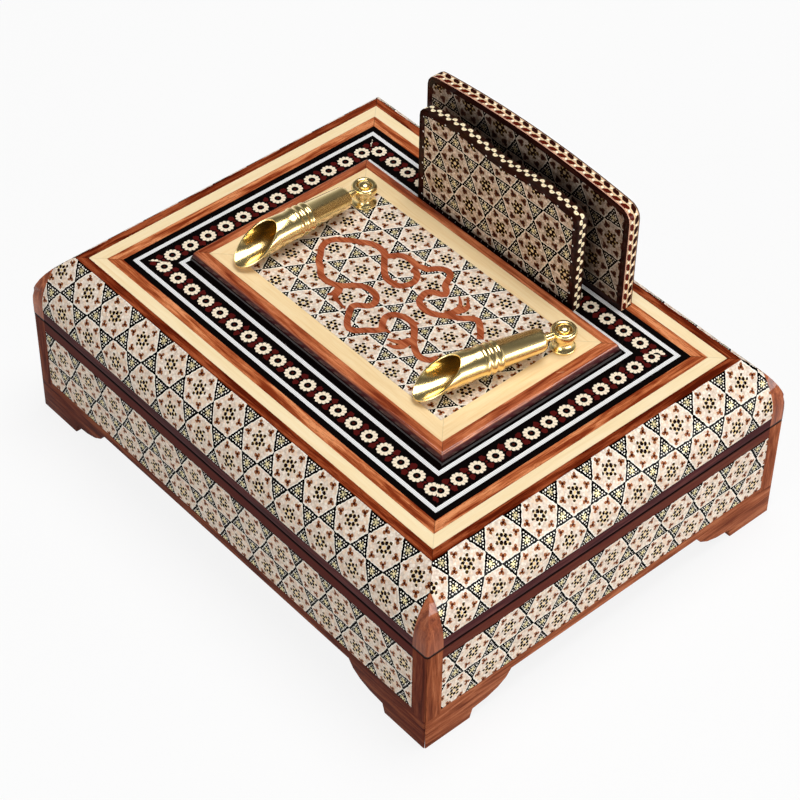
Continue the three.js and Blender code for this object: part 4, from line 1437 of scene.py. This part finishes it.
@dataclass
class LidMould:
    """The cushion-moulded edge of the lid: rails, curved khatam and the leaves at the corners."""

    ARRIS_NEAR = 0.6

    seam_round: float = 0.7
    arris_round: float = 1.3
    cove_start: float = 6.6
    rise: float = 31.6
    inset: float = 14.4
    row_below_top: float = 7.95
    long_row: Row = Row(18.5, 72.1)
    short_row: Row = Row(18.4, -14.8)

    def arc(self, height: float) -> float:
        """Length of the mould's curve from its foot to a height.

        Args:
            height: Height over the lid's lower edge.

        Returns:
            The length, from the cove's start; it is below zero under it.
        """
        if height <= self.cove_start:
            return height - self.cove_start
        reach = height - self.cove_start
        bend = self.inset / (self.rise - self.cove_start) ** 2
        slope = 2 * bend * reach
        return 0.5 * reach * math.sqrt(1 + slope * slope) + math.asinh(slope) / (4 * bend)

    def up(self, height: float) -> float:
        """Length up the curve from the row's centres to a height over the floor."""
        return self.row_below_top - (self.arc(self.rise) - self.arc(height - LID_BASE))

    def at_seam(self, point: Vector) -> bool:
        """Whether an edge is a rail's outer edge at the seam."""
        end, side, height = depths(point)
        return (abs(end) < NEAR or abs(side) < NEAR) and height < LID_BASE + TOUCH

    def at_arris(self, point: Vector) -> bool:
        """Whether an edge is a corner leaf's outer upright edge."""
        end, side, _ = depths(point)
        return abs(end) < self.ARRIS_NEAR and abs(side) < self.ARRIS_NEAR

    def build(self) -> None:
        """Dress the rails, lay the khatam and set the corner leaves."""
        for side in SIDES:
            row, wood = (self.long_row, "rail") if side.is_long else (self.short_row, "rail_short")
            Joiner.refine(f"lid_{side.name}_rail", f"lid_{side.name}_moulded_rail", WOODS[wood], "lid",
                          smooth=30, shape=Bench.rounder(self.at_seam, self.seam_round))
            Joiner.refine(f"lid_{side.name}_khatam", f"lid_{side.name}_curved_khatam", KHATAM, "lid",
                          CURVED_FLAT, smooth=40, chart=row.chart(side, self.up))
        for corner in ("front_left", "front_right", "back_right", "back_left"):
            Joiner.refine(f"corner_leaf_{corner}", f"{corner}_leaf", WOODS["leaf"], "lid", CURVED_FLAT,
                          smooth=40, shape=Bench.rounder(self.at_arris, self.arris_round))


@dataclass
class TopBands:
    """The flat bands of the lid's top, from the rosewood rim to the inner silver line."""

    outer_line: float = 32.3
    inner_line: float = 45.8

    def build(self) -> None:
        """Give each band its own finish."""
        finishes = {
            "lid_top_board": WOODS["plain"],
            "rosewood_border": WOODS["rosewood"],
            "maple_border": WOODS["maple"],
            "orange_border": WOODS["orange"],
            "flower_border": FlowerBand("flower_band", "black_ground"),
            "outer_silver_line": SilverLine("outer_silver", "silver_line", self.outer_line),
            "inner_silver_line": SilverLine("inner_silver", "silver_line", self.inner_line),
        }
        for node, finish in finishes.items():
            Joiner.dress(node, finish)


@dataclass
class RaisedPanel:
    """The panel under the pens: moulded edge, maple frame, khatam and the scroll."""

    RIM_LEVEL = PANEL_TOP - 0.05

    centre_x: float = -23.11
    centre_y: float = -1.61
    pitch: float = 17.74
    core_x: float = 75.5
    core_y: float = 46.2
    rim_round: float = 0.5
    scroll_top: float = PANEL_TOP + 0.38
    scroll_round: float = 0.22

    def chart(self, point: Vector, normal: Vector) -> tuple[float, float]:
        """The chart of the khatam, with a hexagon's centre at its origin."""
        scale = Khatam.PITCH / self.pitch
        return (point.x - self.centre_x) * scale, (point.y - MIDDLE_Y - self.centre_y) * scale

    def at_rim(self, point: Vector) -> bool:
        """Whether an edge is one of the panel's upper outer edges."""
        x, y, z = point / MM
        return (abs(x) > self.core_x or abs(y - MIDDLE_Y) > self.core_y) and z > self.RIM_LEVEL

    def build(self) -> None:
        """Dress the panel and its inlays."""
        Joiner.refine("raised_panel", "moulded_panel", WOODS["panel"], "lid", 0.5, smooth=40,
                      shape=Bench.rounder(self.at_rim, self.rim_round))
        Joiner.dress("raised_panel_maple", WOODS["panel_maple"])
        Joiner.refine("raised_panel_khatam", "panel_khatam_sheet", PANEL_KHATAM, "lid", chart=self.chart)
        round_top = Bench.rounder(lambda point: point.z / MM > self.scroll_top, self.scroll_round, segments=2)
        Joiner.refine("arabesque_inlay", "scroll_inlay", WOODS["scroll"], "lid", 2.0, smooth=40,
                      shape=round_top)


@dataclass
class RackLeaf:
    """One leaf of the card rack: board, khatam and the strip round its edge."""

    OFF_CHART = (0.0, 50.0)
    TINTS = (tint(24, 10, 8), tint(42, 18, 13), tint(66, 32, 24))

    name: str
    front: float
    thick: float
    half: float
    corner: float
    height: float
    swell: float
    rise: Callable[[float], float]
    pattern: EdgePattern
    edge_pitch: float
    face: Khatam
    wood: type[Wood]
    sheets: tuple[str, ...]
    centre_x: float = -43.68
    centre_z: float = 64.73 + SEAM
    pitch: float = 18.88

    def outline(self) -> list[Vector]:
        """The leaf's outline from its lower left corner round to its lower right.

        Returns:
            Its points, as across the lid and height over the floor.
        """
        foot = TOP + TOUCH

        def crest(x: float) -> float:
            """Height of the upper edge over the lid."""
            return self.height + self.swell * self.rise(x / self.half)

        flat = self.half - self.corner

        def rounded(sign: int, degrees: Sequence[float]) -> list[Vector]:
            """The points of one rounded corner.

            Args:
                sign: -1 for the left corner, 1 for the right one.
                degrees: Where on the round each point lies.

            Returns:
                The points.
            """
            low = foot + crest(flat) - self.corner
            return [Vector((sign * flat + self.corner * math.cos(math.radians(d)),
                            low + self.corner * math.sin(math.radians(d)))) for d in degrees]

        return [
            Vector((-self.half, foot)),
            *rounded(-1, (180, 157.5, 135, 112.5, 90)),
            *(Vector((x, foot + crest(x))) for x in (flat * (step / 8 - 1) for step in range(1, 16))),
            *rounded(1, (90, 67.5, 45, 22.5, 0)),
            Vector((self.half, foot)),
        ]

    def along(self, x: float, z: float) -> tuple[float, float]:
        """Where a point lies on the outline.

        Args:
            x: Across the lid.
            z: Height over the floor.

        Returns:
            Length along the outline to the nearest place on it, and the distance from it.
        """
        points = self.outline()
        at = Vector((x, z))
        best, length_there, walked = math.inf, 0.0, 0.0
        for start, end in zip(points, points[1:]):
            way = end - start
            share = min(max((at - start).dot(way) / way.length_squared, 0.0), 1.0)
            gap = (at - (start + way * share)).length
            if gap < best:
                best, length_there = gap, walked + way.length * share
            walked += way.length
        return length_there, best

    def edge_chart(self, point: Vector, normal: Vector) -> tuple[float, float]:
        """Along the outline and across the leaf's thickness."""
        length, _ = self.along(point.x, point.z)
        return length, min(max(point.y - MIDDLE_Y - self.front, 0.0), self.thick)

    def border_chart(self, point: Vector, normal: Vector) -> tuple[float, float]:
        """Along the outline and inward from it, on the two faces only.

        Args:
            point: A point in millimetres.
            normal: Its face's normal.

        Returns:
            The two lengths; other faces get a place off the chart.
        """
        if abs(normal.y) < 0.9:
            return self.OFF_CHART
        return self.along(point.x, point.z)

    def face_chart(self, point: Vector, normal: Vector) -> tuple[float, float]:
        """The chart of the khatam on a face."""
        scale = Khatam.PITCH / self.pitch
        return (point.x - self.centre_x) * scale, (point.z - self.centre_z) * scale

    def build(self) -> None:
        """Dress the leaf."""
        wood = self.wood(f"{self.name}_wood", "strip_wood", *self.TINTS)
        Joiner.refine(f"{self.name}_board", f"{self.name}_leaf", wood, "lid", CURVED_FLAT, smooth=30,
                      chart=self.border_chart)
        strip = Edging(f"{self.name}_edge", "checked_edging", self.pattern, self.thick, self.edge_pitch)
        Joiner.refine(f"{self.name}_edging", f"{self.name}_edge_strip", strip, "lid", CURVED_FLAT, smooth=40,
                      chart=self.edge_chart)
        for node in self.sheets:
            Joiner.refine(node, f"{node}_sheet", self.face, "lid", chart=self.face_chart)


@dataclass
class PenHolder:
    """A brass pedestal with a screw, and the scooped tube whose eye turns on it."""

    # Radius and height of each ring, from the piece's foot, the eye's top or the screw's seat
    PEDESTAL = ((5.0, 0.0), (5.3, 0.12), (5.3, 0.7), (5.15, 0.95), (4.6, 1.25), (4.1, 1.7),
                (3.7, 2.3), (3.4, 2.9), (3.3, 3.6), (3.3, 4.7), (3.6, 5.1), (4.2, 5.35),
                (4.4, 5.55), (4.4, 5.95), (4.25, 6.1), (1.4, 6.1))
    EYE_FOOT = ((1.5, 0.0), (4.9, 0.0), (5.25, 0.15), (5.42, 0.6))
    EYE_TOP = ((5.45, -1.5), (5.35, -0.8), (5.0, -0.25), (4.4, 0.0), (3.7, -0.05), (3.25, -0.4),
               (2.9, -1.1), (2.75, -1.5), (1.5, -1.5))
    SHANK = ((1.15, -6.0), (1.15, 0.0), (2.45, 0.0), (2.6, 0.12))
    BEAD_STEPS = 8
    PLAIN_STATIONS = (42.0, 50.0, 58.0)
    END_SLACK = 0.01

    side: str
    pivot: tuple[float, float]
    turn: float
    tilt: float = 1.2
    base: float = 6.4
    eye_thick: float = 3.5
    neck: float = 1.6
    neck_foot: float = 3.1
    start: float = 9.6
    end: float = 67.0
    rear: float = 4.9
    mouth: float = 7.75
    wall: float = 0.8
    cut: float = 20.5
    beads: tuple[float, ...] = (31.2, 34.3, 37.4)
    bead_rise: float = 0.5
    bead_half: float = 1.3
    seat_depth: float = 1.2
    head: float = 2.6
    head_edge: float = 0.5
    dome: float = 1.45
    edge_round: float = 0.16

    @staticmethod
    def raised(rings: Sequence[tuple[float, float]], height: float) -> list[tuple[float, float]]:
        """The rings, moved up by a height."""
        return [(radius, level + height) for radius, level in rings]

    def radius(self, along: float) -> float:
        """Outer radius of the tube at a distance from the pivot.

        Args:
            along: The distance.

        Returns:
            The radius, with its bead where there is one.
        """
        plain = self.rear + (self.mouth - self.rear) * (along - self.start) / (self.end - self.start)
        for bead in self.beads:
            if abs(along - bead) < self.bead_half:
                return plain + self.bead_rise * math.cos(math.pi * (along - bead) / (2 * self.bead_half))
        return plain

    def tube(self) -> bpy.types.Object:
        """Model the scooped tube: turned, cut on the slant and given its wall.

        Returns:
            The tube, standing on its closed end.
        """
        neck, rear = self.neck, self.rear
        root = ((neck * 0.98, 0.0), (neck, 0.2))
        collar = ((neck, -0.9), (neck + 0.3, -0.6), (neck + 1.5, -0.25), (rear - 0.7, 0.35),
                  (rear - 0.2, 0.95))
        rings = self.raised(root, self.neck_foot) + self.raised(collar, self.start)
        stations = [self.start + 2]
        for bead in self.beads:
            stations += [bead - self.bead_half + 2 * self.bead_half * step / self.BEAD_STEPS
                         for step in range(self.BEAD_STEPS + 1)]
        rings += [(self.radius(place), place) for place in (*stations, *self.PLAIN_STATIONS, self.end)]
        item = Bench.turn(f"{self.side}_scooped_tube", rings, 96)
        slant = math.atan2(2 * self.mouth, self.cut)
        with Bench.edit(item):
            Bench.pick(item, "FACE", lambda point: point.z / MM > self.end - self.END_SLACK)
            bpy.ops.mesh.delete(type="FACE")
            bpy.ops.mesh.select_all(action="SELECT")
            bpy.ops.mesh.bisect(plane_co=(-self.mouth * MM, 0.0, self.end * MM),
                                plane_no=(math.cos(slant), 0.0, math.sin(slant)),
                                clear_outer=True, clear_inner=False, use_fill=False)
            bpy.ops.mesh.select_all(action="SELECT")
            bpy.ops.mesh.normals_make_consistent(inside=False)
        Bench.apply(item, "SOLIDIFY", thickness=self.wall * MM, offset=-1.0, use_even_offset=True)
        Bench.apply(item, "BEVEL", width=self.edge_round * MM, segments=2, limit_method="ANGLE",
                    angle_limit=math.radians(50))
        return item

    def eye(self) -> bpy.types.Object:
        """Model the ring at the neck's end, dished for the screw."""
        rings = self.raised(self.EYE_FOOT, self.base) + self.raised(self.EYE_TOP, self.base + self.eye_thick)
        return Bench.turn(f"{self.side}_eye", rings, bored=True)

    def pedestal(self) -> bpy.types.Object:
        """Model the flared pedestal."""
        return Bench.turn(f"{self.side}_turned_pedestal", self.PEDESTAL)

    def screw(self) -> bpy.types.Object:
        """Model the domed screw in the eye's dish.

        Returns:
            The screw, standing on its shank's end.
        """
        seat = self.base + self.eye_thick - self.seat_depth
        edge = seat + self.head_edge
        rings = [*self.raised(self.SHANK, seat), (self.head, edge)]
        for degrees in (15, 30, 45, 60, 75, 86):
            angle = math.radians(degrees)
            rings.append((self.head * math.cos(angle), edge + self.dome * math.sin(angle)))
        return Bench.turn(f"{self.side}_domed_screw", rings, 48)

    def build(self) -> None:
        """Model the holder at its pivot."""
        stand = Matrix.Translation(Vector((*self.pivot, PANEL_TOP)) * MM)
        heading = stand @ Matrix.Rotation(math.radians(self.turn), 4, "Z")
        lie = Matrix.Translation((0.0, 0.0, (self.base + self.eye_thick / 2) * MM))
        lie @= Matrix.Rotation(math.radians(90 - self.tilt), 4, "X")
        lie @= Matrix.Rotation(math.radians(90), 4, "Z")
        pen, side = f"{self.side}_pen", self.side
        pieces = (
            (self.tube(), heading @ lie, pen, f"{side}_pen_tube"),
            (self.eye(), heading, pen, f"{side}_pen_tube"),
            (self.pedestal(), stand, "lid", f"{side}_pen_pedestal"),
            (self.screw(), stand, "lid", f"{side}_pen_screw"),
        )
        for item, place, body, node in pieces:
            Bench.settle(item, place)
            Bench.smooth(item, 38)
            Joiner.stand_in(item, POLISHED, body, node)


@dataclass
class ButtHinge:
    """A hinge on the back: its solids' shapes, shaded smooth and given brass."""

    side: str

    def build(self) -> None:
        """Dress the leaves, the pin and the screws."""
        for part, body in (("hinge_box_leaf", "box"), ("hinge_lid_leaf", "lid"), ("hinge_pin", "box")):
            node = f"{self.side}_{part}"
            Joiner.refine(node, f"{node}_brass", HINGE, body, 0.5, smooth=35)
        for number in (1, 2):
            for part in ("box", "lid"):
                Joiner.dress(f"{self.side}_hinge_screw_{number}_{part}", HINGE)


@dataclass(frozen=True)
class Lamp:
    """A soft lamp that looks at the object: its place and size in metres and its power in watts."""

    AIM = (0.0, 0.0, 0.05)

    name: str
    place: Triple
    size: tuple[float, float]
    watts: float

    def hang(self) -> None:
        """Hang the lamp."""
        data = bpy.data.lights.new(self.name, "AREA")
        data.shape = "RECTANGLE"
        data.size, data.size_y = self.size
        data.energy = self.watts
        item = bpy.data.objects.new(self.name, data)
        bpy.context.scene.collection.objects.link(item)
        item.location = self.place
        item.rotation_euler = (Vector(self.AIM) - Vector(self.place)).to_track_quat("-Z", "Y").to_euler()


@dataclass
class Studio:
    """Pale floor, soft lamps and the camera at the photograph's angle."""

    lens: float = 113.14
    eye: Triple = (0.56035, -0.50394, 0.77173)
    across: Triple = (0.6588328, 0.75220949, 0.01096483)
    upward: Triple = (-0.53225447, 0.45578285, 0.71341935)
    back: Triple = (0.53164323, -0.47586015, 0.70065156)
    floor_size: float = 8.0
    floor_glow: float = 1.08
    floor_share: float = 0.8
    sky: tuple[tuple[float, float], ...] = ((0.0, 0.85), (0.22, 0.42), (0.55, 0.1))
    lamps: tuple[Lamp, ...] = (
        Lamp("right_lamp", (1.25, 0.42, 0.16), (1.3, 0.25), 8.8),
        Lamp("top_lamp", (0.1, 0.3, 1.6), (0.9, 0.9), 19.5),
        Lamp("front_lamp", (0.4, -1.5, 0.8), (1.0, 0.8), 9.0),
    )

    def camera(self) -> None:
        """Place the camera."""
        data = bpy.data.cameras.new("photo_camera")
        data.lens = self.lens
        data.sensor_width = 36.0
        data.clip_start = 0.01
        data.clip_end = 50.0
        item = bpy.data.objects.new("photo_camera", data)
        bpy.context.scene.collection.objects.link(item)
        turned = Matrix((self.across, self.upward, self.back)).transposed().to_4x4()
        item.matrix_world = Matrix.Translation(self.eye) @ turned
        bpy.context.scene.camera = item

    def floor(self) -> None:
        """Lay the pale floor, which the camera and the glosses see nearly white."""
        Bench.clear()
        bpy.ops.mesh.primitive_plane_add(size=self.floor_size, location=(0.0, 0.0, 0.0))
        item = bpy.context.active_object
        item.name = "studio_floor"
        graph = Graph("studio_floor")
        graph.surface(tint(196, 196, 196), 0.9)
        light = graph.named("ShaderNodeEmission", Color=(1.0, 1.0, 1.0, 1.0), Strength=self.floor_glow)
        path = graph.named("ShaderNodeLightPath").outputs
        seen = graph.any_of(*(path[f"Is {ray} Ray"] for ray in ("Camera", "Glossy", "Transmission")))
        share = graph.times(seen, self.floor_share)
        mixed = graph.node("ShaderNodeMixShader", share, graph.shader.outputs[0], light.outputs[0])
        output = next(n for n in graph.tree.nodes if n.type == "OUTPUT_MATERIAL")
        graph.feed(output.inputs["Surface"], mixed.outputs[0])
        item.data.materials.append(graph.material)

    def world(self) -> None:
        """Light the studio from a pale horizon and a dimmer ceiling."""
        world = bpy.data.worlds.new("studio_world")
        bpy.context.scene.world = world
        world.use_nodes = True
        tree = world.node_tree
        shade = tree.nodes.new("ShaderNodeValToRGB")
        height = tree.nodes.new("ShaderNodeSeparateXYZ")
        way = tree.nodes.new("ShaderNodeTexCoord")
        tree.links.new(way.outputs["Generated"], height.inputs[0])
        tree.links.new(height.outputs["Z"], shade.inputs[0])
        shade.color_ramp.elements.new(0.25)
        for element, (place, level) in zip(shade.color_ramp.elements, self.sky):
            element.position = place
            element.color = (level, level, level, 1.0)
        back = next(n for n in tree.nodes if n.type == "BACKGROUND")
        tree.links.new(shade.outputs[0], back.inputs["Color"])
        back.inputs["Strength"].default_value = 1.0

    def build(self) -> None:
        """Set up the camera, the floor and the light."""
        self.camera()
        self.floor()
        self.world()
        for lamp in self.lamps:
            lamp.hang()
        bpy.context.scene.view_settings.view_transform = "Standard"


class DeskBox:
    """The whole object, sub-assembly by sub-assembly."""

    def __init__(self) -> None:
        """List the sub-assemblies in the order they are made."""
        self.parts = [
            Carcase(),
            LidMould(),
            TopBands(),
            RaisedPanel(),
            RackLeaf("front_rack", front=50.25, thick=4.6, half=47.0, corner=5.0, height=49.5, swell=2.1,
                     rise=lambda share: math.sin(math.pi * share) ** 2, pattern=EdgePattern.BEADS,
                     edge_pitch=4.7, face=RACK_WARM_SHADED_KHATAM, wood=DottedWood, sheets=("front_rack_khatam",)),
            RackLeaf("rear_rack", front=65.75, thick=5.8, half=59.5, corner=6.0, height=55.0, swell=-4.0,
                     rise=lambda share: share * share, pattern=EdgePattern.CHECKS,
                     edge_pitch=5.2, face=REAR_SHADED_KHATAM, wood=Wood,
                     sheets=("rear_rack_khatam", "rear_rack_back_khatam")),
            PenHolder("left", (-54.7, 24.7), -1.0),
            PenHolder("right", (63.2, 26.9), -12.5),
            ButtHinge("left"),
            ButtHinge("right"),
        ]

    def build(self) -> None:
        """Make every sub-assembly."""
        for part in self.parts:
            LOG.info("making %s", type(part).__name__)
            part.build()


def main() -> None:
    """Load the frame, set up the studio and dress the desk box."""
    logging.basicConfig(level=logging.INFO, format="%(name)s: %(message)s")
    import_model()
    Studio().build()
    DeskBox().build()
    Bench.clear()


if __name__ == "__main__":
    main()
